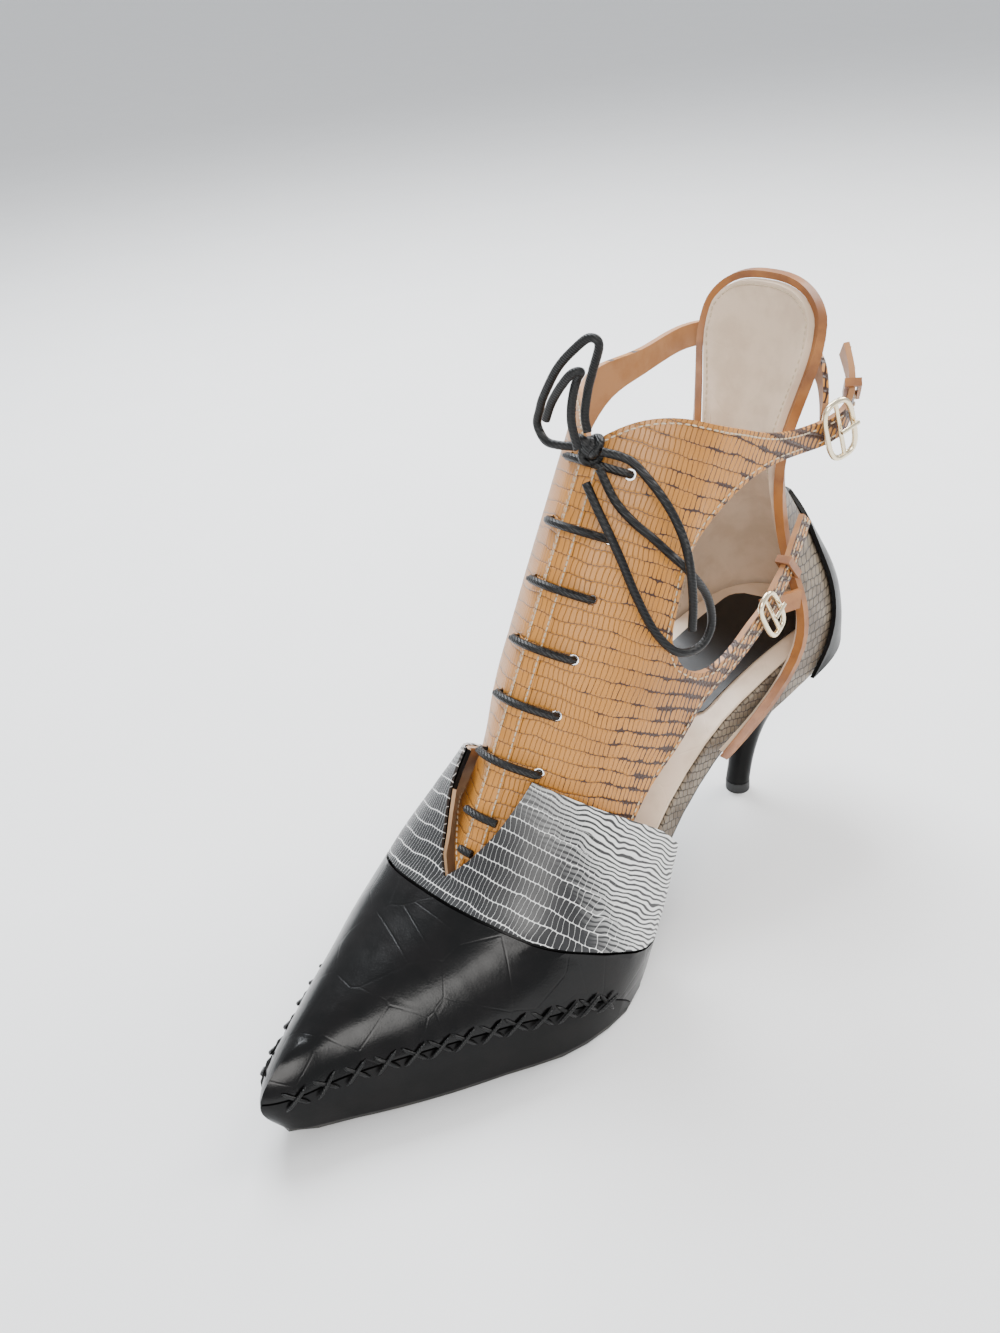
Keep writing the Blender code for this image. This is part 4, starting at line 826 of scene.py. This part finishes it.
@dataclass
class Upper:
    """Toe box, band, facings, counter and backstay with their seams."""

    finishes: Finishes
    seam: SeamSize = SeamSize()
    cross: CrossSize = CrossSize()
    lap: LapSize = LapSize()
    skins: dict[str, Skin] = field(default_factory=dict)

    def mesh(self) -> None:
        """Carry every leather over."""
        for node, given in UPPER_LEATHERS.items():
            outward = counter_out if node == "upper_counter" else faces_out
            skin = Skin(node, given.rounds, outside=given.outside, lining=given.lining, outward=outward)
            skin.dress(self.finishes, given.slot)
            self.skins[node] = skin

    def dress(self) -> None:
        """Add the rim seams, the crossed stitches of the cap and the lapped front edge."""
        pale = Stitches("facing_stitches", self.seam.length, self.seam.radius)
        for node in ("upper_facing_outer", "upper_facing_inner"):
            RimSeam(self.seam.facing_wall, faces_out).sew(pale, self.skins[node].body)
        counter = RimSeam(self.seam.counter_wall, counter_in, self.seam.counter_inset)
        counter.sew(pale, self.skins["upper_counter"].body)
        pale.finish(self.finishes.by_name["pale_thread"], "cream_sock_leather")
        self.cross_stitches()
        self.front_lap()

    def tree(self, *nodes: str) -> BVHTree:
        """One search tree over several nodes.

        Args:
            nodes: The CAD nodes.

        Returns:
            The tree.
        """
        points: list[Vector] = []
        faces: list[tuple[int, ...]] = []
        for node in nodes:
            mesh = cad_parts[node].data
            base = len(points)
            points += [v.co.copy() for v in mesh.vertices]
            faces += [tuple(base + v for v in p.vertices) for p in mesh.polygons]
        return BVHTree.FromPolygons(points, faces)

    def cross_stitches(self) -> None:
        """Sew crossed stitches of waxed thread over the seam of cap and rand, on both sides."""
        tree = self.tree("toe_cap", "toe_rand")
        made = Stitches("cross_stitches", self.cross.length, self.cross.radius)
        above = Vector((0, 0, self.cross.above))
        for side in Side:
            found = []
            for back, up in flowing(self.cross.line, 20):
                beside = Vector((side.value * 0.1, back, up)) + above
                hit, normal, _, _ = tree.ray_cast(beside, Vector((-side.value, 0, 0)))
                if hit is not None and hit.x * side.value > 0:
                    found.append((hit - above, normal))
            walked = 0.0
            for (a, _), (b, normal) in zip(found, found[1:]):
                walked += (b - a).length
                if walked >= self.cross.pitch:
                    walked = 0.0
                    run = (b - a).normalized()
                    rise = normal.cross(run)
                    for lean in (1, -1):
                        place = b + normal * self.cross.lift * (2 + lean)
                        made.add(place, run * self.cross.along + rise * lean * self.cross.rise, normal)
        made.finish(self.finishes.by_name["cord"], "waxed_cord")

    def lap_rows(self) -> list[list[Vector]]:
        """Lay the lapped edge on the facings, row by row along the ridge.

        Returns:
            The places of each row that meets leather all the way across.
        """
        tree = self.tree("upper_facing_outer", "upper_facing_inner")
        out = Vector(RIDGE_OUT)
        rows: list[list[Vector]] = []
        for k in range(self.lap.steps + 1):
            walked = self.lap.start + self.lap.length * k / self.lap.steps
            base = Vector(RIDGE_FOOT) + Vector(RIDGE_RUN) * walked
            row = []
            for x, high in zip(self.lap.across, self.lap.lift):
                sought = x if abs(x) > self.lap.beside else math.copysign(self.lap.beside, x)
                hit, _, _, _ = tree.ray_cast(base + Vector((sought, 0, 0)) + out * self.lap.above, -out)
                if hit is None:
                    break
                place = hit + out * high
                place.x = x
                row.append(place)
            if len(row) == len(self.lap.across):
                rows.append(row)
        return rows

    def front_lap(self) -> None:
        """Fold and sew the front edge of the outer facing over the inner one."""
        rows = self.lap_rows()
        wide = len(self.lap.across)
        faces = [(a, a + wide, a + wide + 1, a + 1) for r in range(len(rows) - 1)
                 for a in range(r * wide, r * wide + wide - 1)]
        slot = "tan_embossed_leather"
        points = [place for row in rows for place in row]
        settle(new_sheet("facing_front_lap", points, faces, self.finishes.by_slot[slot]), slot)
        seam = Stitches("front_lap_stitches", self.seam.length, self.seam.radius)
        for row, following in zip(rows, rows[1:]):
            for column in self.lap.seams:
                seam.add(row[column], following[column] - row[column], Vector(RIDGE_OUT))
        seam.finish(self.finishes.by_name["pale_thread"], "cream_sock_leather")


SOLE_PIECES: dict[str, str] = {
    "outsole": "outsole_leather", "insole_board": "board_edge_leather", "sock_lining": "cream_sock_leather",
    "sock_patch": "bare_patch_leather", "heel": "satin_black_leather", "heel_tip": "heel_tip_rubber",
}


@dataclass
class Sole:
    """Outsole, covered board, sock, patch, heel and its tip."""

    finishes: Finishes
    heel_rounds: int = 1

    def dress(self) -> None:
        """Carry every piece over with its finish."""
        for node, slot in SOLE_PIECES.items():
            Skin(node, self.heel_rounds if node == "heel" else 0).dress(self.finishes, slot)


# Free stretches of the lace, from the knot's middle, in shares of LaceSize.reach.
LACE_ROUTES: dict[str, list[tuple[float, float, float]]] = {
    "lace_loop_upper": [
        (-0.084, 0.000, -0.011), (-0.158, -0.048, -0.004), (-0.222, -0.065, 0.011), (-0.267, -0.065, 0.079),
        (-0.245, -0.065, 0.153), (-0.211, -0.065, 0.228), (-0.116, -0.057, 0.377), (-0.009, -0.040, 0.484),
        (0.052, -0.020, 0.528), (0.090, -0.005, 0.500), (0.031, 0.010, 0.369), (-0.004, 0.010, 0.275),
        (-0.016, -0.007, 0.159), (0.000, -0.012, 0.082)],
    "lace_end_upper": [
        (0.008, -0.090, 0.030), (-0.016, -0.095, 0.138), (-0.020, -0.088, 0.212), (-0.009, -0.080, 0.285),
        (0.014, -0.075, 0.352), (0.060, -0.098, 0.400), (0.030, -0.123, 0.395), (-0.031, -0.132, 0.329),
        (-0.096, -0.132, 0.242), (-0.141, -0.132, 0.151)],
    "lace_loop_lower": [
        (0.075, -0.028, -0.073), (0.169, -0.037, -0.202), (0.255, -0.010, -0.300), (0.330, 0.032, -0.376),
        (0.396, 0.086, -0.469), (0.470, 0.106, -0.528), (0.487, 0.224, -0.708), (0.487, 0.259, -0.880),
        (0.487, 0.173, -0.962), (0.470, 0.027, -0.933), (0.413, -0.063, -0.806), (0.338, -0.101, -0.628),
        (0.261, -0.113, -0.449), (0.205, -0.120, -0.335), (0.130, -0.112, -0.229), (0.050, -0.095, -0.125)],
    "lace_end_lower": [
        (0.092, -0.020, 0.010), (0.175, 0.020, -0.010), (0.240, 0.046, -0.050), (0.365, 0.072, -0.186),
        (0.450, 0.084, -0.326), (0.535, 0.040, -0.450), (0.560, 0.030, -0.635), (0.560, 0.020, -0.774)],
}


@dataclass(frozen=True)
class LaceSize:
    """Sizes of the lace."""

    radius: float = 0.00125
    reach: float = 0.060
    knot: tuple[float, float, float] = (0.0038, 0.0439, 0.1619)
    turn_reach: float = 0.0014  # of the knot's lobes
    turn_depth: float = 0.0016
    turn_points: int = 72
    bars: int = 8


@dataclass
class Lace:
    """Bars over the instep, the knot, and the loops and ends of the bow."""

    finishes: Finishes
    size: LaceSize = LaceSize()
    slot: str = "waxed_cord"

    def cord(self, name: str, line: Sequence[Point], roundness: int, closed: bool) -> bpy.types.Object:
        """Make one round cord.

        Args:
            name: The object's name.
            line: The places that it passes.
            roundness: Bevel resolution of its section.
            closed: Whether it ends where it starts.

        Returns:
            The new object.
        """
        curve = bpy.data.curves.new(name, "CURVE")
        curve.dimensions = "3D"
        spline = curve.splines.new("POLY")
        spline.points.add(len(line) - 1)
        for point, place in zip(spline.points, line):
            point.co = (*map(float, place), 1.0)
        spline.use_cyclic_u = closed
        curve.bevel_depth = self.size.radius
        curve.bevel_resolution = roundness
        curve.use_fill_caps = not closed
        curve.materials.append(self.finishes.by_slot[self.slot])
        return new_object(name, curve)

    def mesh(self) -> None:
        """Make the knot, and the free stretches as smooth cords of their real length."""
        knot = Skin("lace_knot", 1).dress(self.finishes, self.slot)
        turns = self.turns()
        for name, route in LACE_ROUTES.items():
            line = flowing(np.array(self.size.knot) + np.array(route) * self.size.reach, 6)
            made = settle(self.cord(name + "_cord", line, 4, closed=False), self.slot, name)

    def turns(self) -> bpy.types.Object:
        """Make the tightened turns of the knot, as one closed cord with three lobes.

        Returns:
            The new object.
        """
        x, y, z = self.size.knot
        line = []
        for k in range(self.size.turn_points):
            t = 2 * math.pi * k / self.size.turn_points
            wide = math.sin(t) + 2 * math.sin(2 * t)
            deep = -math.sin(3 * t)
            tall = math.cos(t) - 2 * math.cos(2 * t)
            line.append((x + self.size.turn_reach * wide, y + self.size.turn_depth * deep,
                         z + self.size.turn_reach * tall))
        return settle(self.cord("lace_knot_turns", line, 3, closed=True), self.slot)

    def dress(self) -> None:
        """Carry the bars over."""
        for k in range(1, self.size.bars + 1):
            Skin(f"lace_bar_{k}", 1).dress(self.finishes, self.slot)


@dataclass
class Hardware:
    """Both buckles and their prongs."""

    finishes: Finishes
    sharp_angle: float = math.radians(60)

    def dress(self) -> None:
        """Carry the metal over."""
        for node in ("ankle_buckle", "ankle_buckle_prong", "lower_buckle", "lower_buckle_prong"):
            Skin(node, 0, self.sharp_angle).dress(self.finishes, "pale_gold_metal")


# Stage


@dataclass(frozen=True)
class CameraFit:
    """The photo's camera, solved from the shoe's outline."""

    place: tuple[float, float, float] = (0.2315, -0.1972, 0.2985)
    ahead: tuple[float, float, float] = (-0.6396, 0.5619, -0.5245)
    right: tuple[float, float, float] = (0.6975, 0.7111, -0.0886)
    up: tuple[float, float, float] = (-0.3232, 0.4225, 0.8468)
    lens: float = 34.784
    sensor: float = 36.0

    def mesh(self) -> None:
        """Put the camera in the scene."""
        data = bpy.data.cameras.new("photo_camera")
        data.lens = self.lens
        data.sensor_fit = "VERTICAL"
        data.sensor_width = data.sensor_height = self.sensor
        data.clip_start, data.clip_end = 0.01, 200.0
        camera = new_object("photo_camera", data)
        turn = Matrix((self.right, self.up, tuple(-v for v in self.ahead))).transposed()
        camera.matrix_world = Matrix.Translation(Vector(self.place)) @ turn.to_4x4()
        bpy.context.scene.camera = camera


@dataclass(frozen=True)
class Lamp:
    """One soft square lamp."""

    place: tuple[float, float, float]
    wide: float
    power: float
    tint: Colour

    def hang(self, name: str, aim: Point) -> None:
        """Hang the lamp, turned to a place.

        Args:
            name: The lamp's name.
            aim: The place that it lights.
        """
        data = bpy.data.lights.new(name, "AREA")
        data.size = self.wide
        data.energy = self.power
        data.color = self.tint
        lamp = new_object(name, data)
        lamp.location = self.place
        lamp.rotation_mode = "QUATERNION"
        lamp.rotation_quaternion = (Vector(aim) - Vector(self.place)).to_track_quat("-Z", "Y")


@dataclass(frozen=True)
class Studio:
    """Pale floor and soft light."""

    reach: float = 40.0
    pale: Colour = (0.86, 0.86, 0.86)
    paler: Colour = (0.82, 0.82, 0.82)
    aim: tuple[float, float, float] = (0.0, 0.03, 0.07)
    sky: Colour = (0.93, 0.96, 1.0)
    sky_strength: float = 0.9
    lamps: tuple[Lamp, ...] = (
        Lamp((-0.60, 0.35, 0.95), 0.60, 22.0, (0.92, 0.96, 1.0)),
        Lamp((0.75, -0.75, 0.90), 0.70, 15.0, (1.0, 0.98, 0.95)),
        Lamp((0.15, 0.85, 0.90), 0.60, 14.0, (1.0, 0.98, 0.95)),
    )

    def mesh(self) -> None:
        """Lay the floor."""
        far = self.reach
        mesh = bpy.data.meshes.new("floor")
        mesh.from_pydata([(-far, -far, 0), (far, -far, 0), (far, far, 0), (-far, far, 0)], [], [(0, 1, 2, 3)])
        graph = Graph("floor")
        graph.paint(graph.mix(graph.noise(0.05), self.pale, self.paler))
        graph.shader.inputs["Roughness"].default_value = 0.7
        mesh.materials.append(graph.material)
        new_object("floor", mesh)

    def dress(self) -> None:
        """Hang the lamps and set the soft surroundings."""
        for k, lamp in enumerate(self.lamps):
            lamp.hang(f"lamp_{k}", self.aim)
        world = bpy.data.worlds.new("studio")
        world.use_nodes = True
        colour, strength = world.node_tree.nodes["Background"].inputs[:2]
        colour.default_value = (*self.sky, 1.0)
        strength.default_value = self.sky_strength
        bpy.context.scene.world = world


def main() -> None:
    """Build the whole scene in order."""
    logging.basicConfig(level=logging.INFO, format="%(message)s")
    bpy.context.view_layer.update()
    CameraFit().mesh()
    finishes = Finishes()
    lace = Lace(finishes)
    lace.mesh()
    lace.dress()
    upper = Upper(finishes)
    upper.mesh()
    upper.dress()
    Sole(finishes).dress()
    Hardware(finishes).dress()
    studio = Studio()
    studio.mesh()
    studio.dress()


if __name__ == "__main__":
    main()
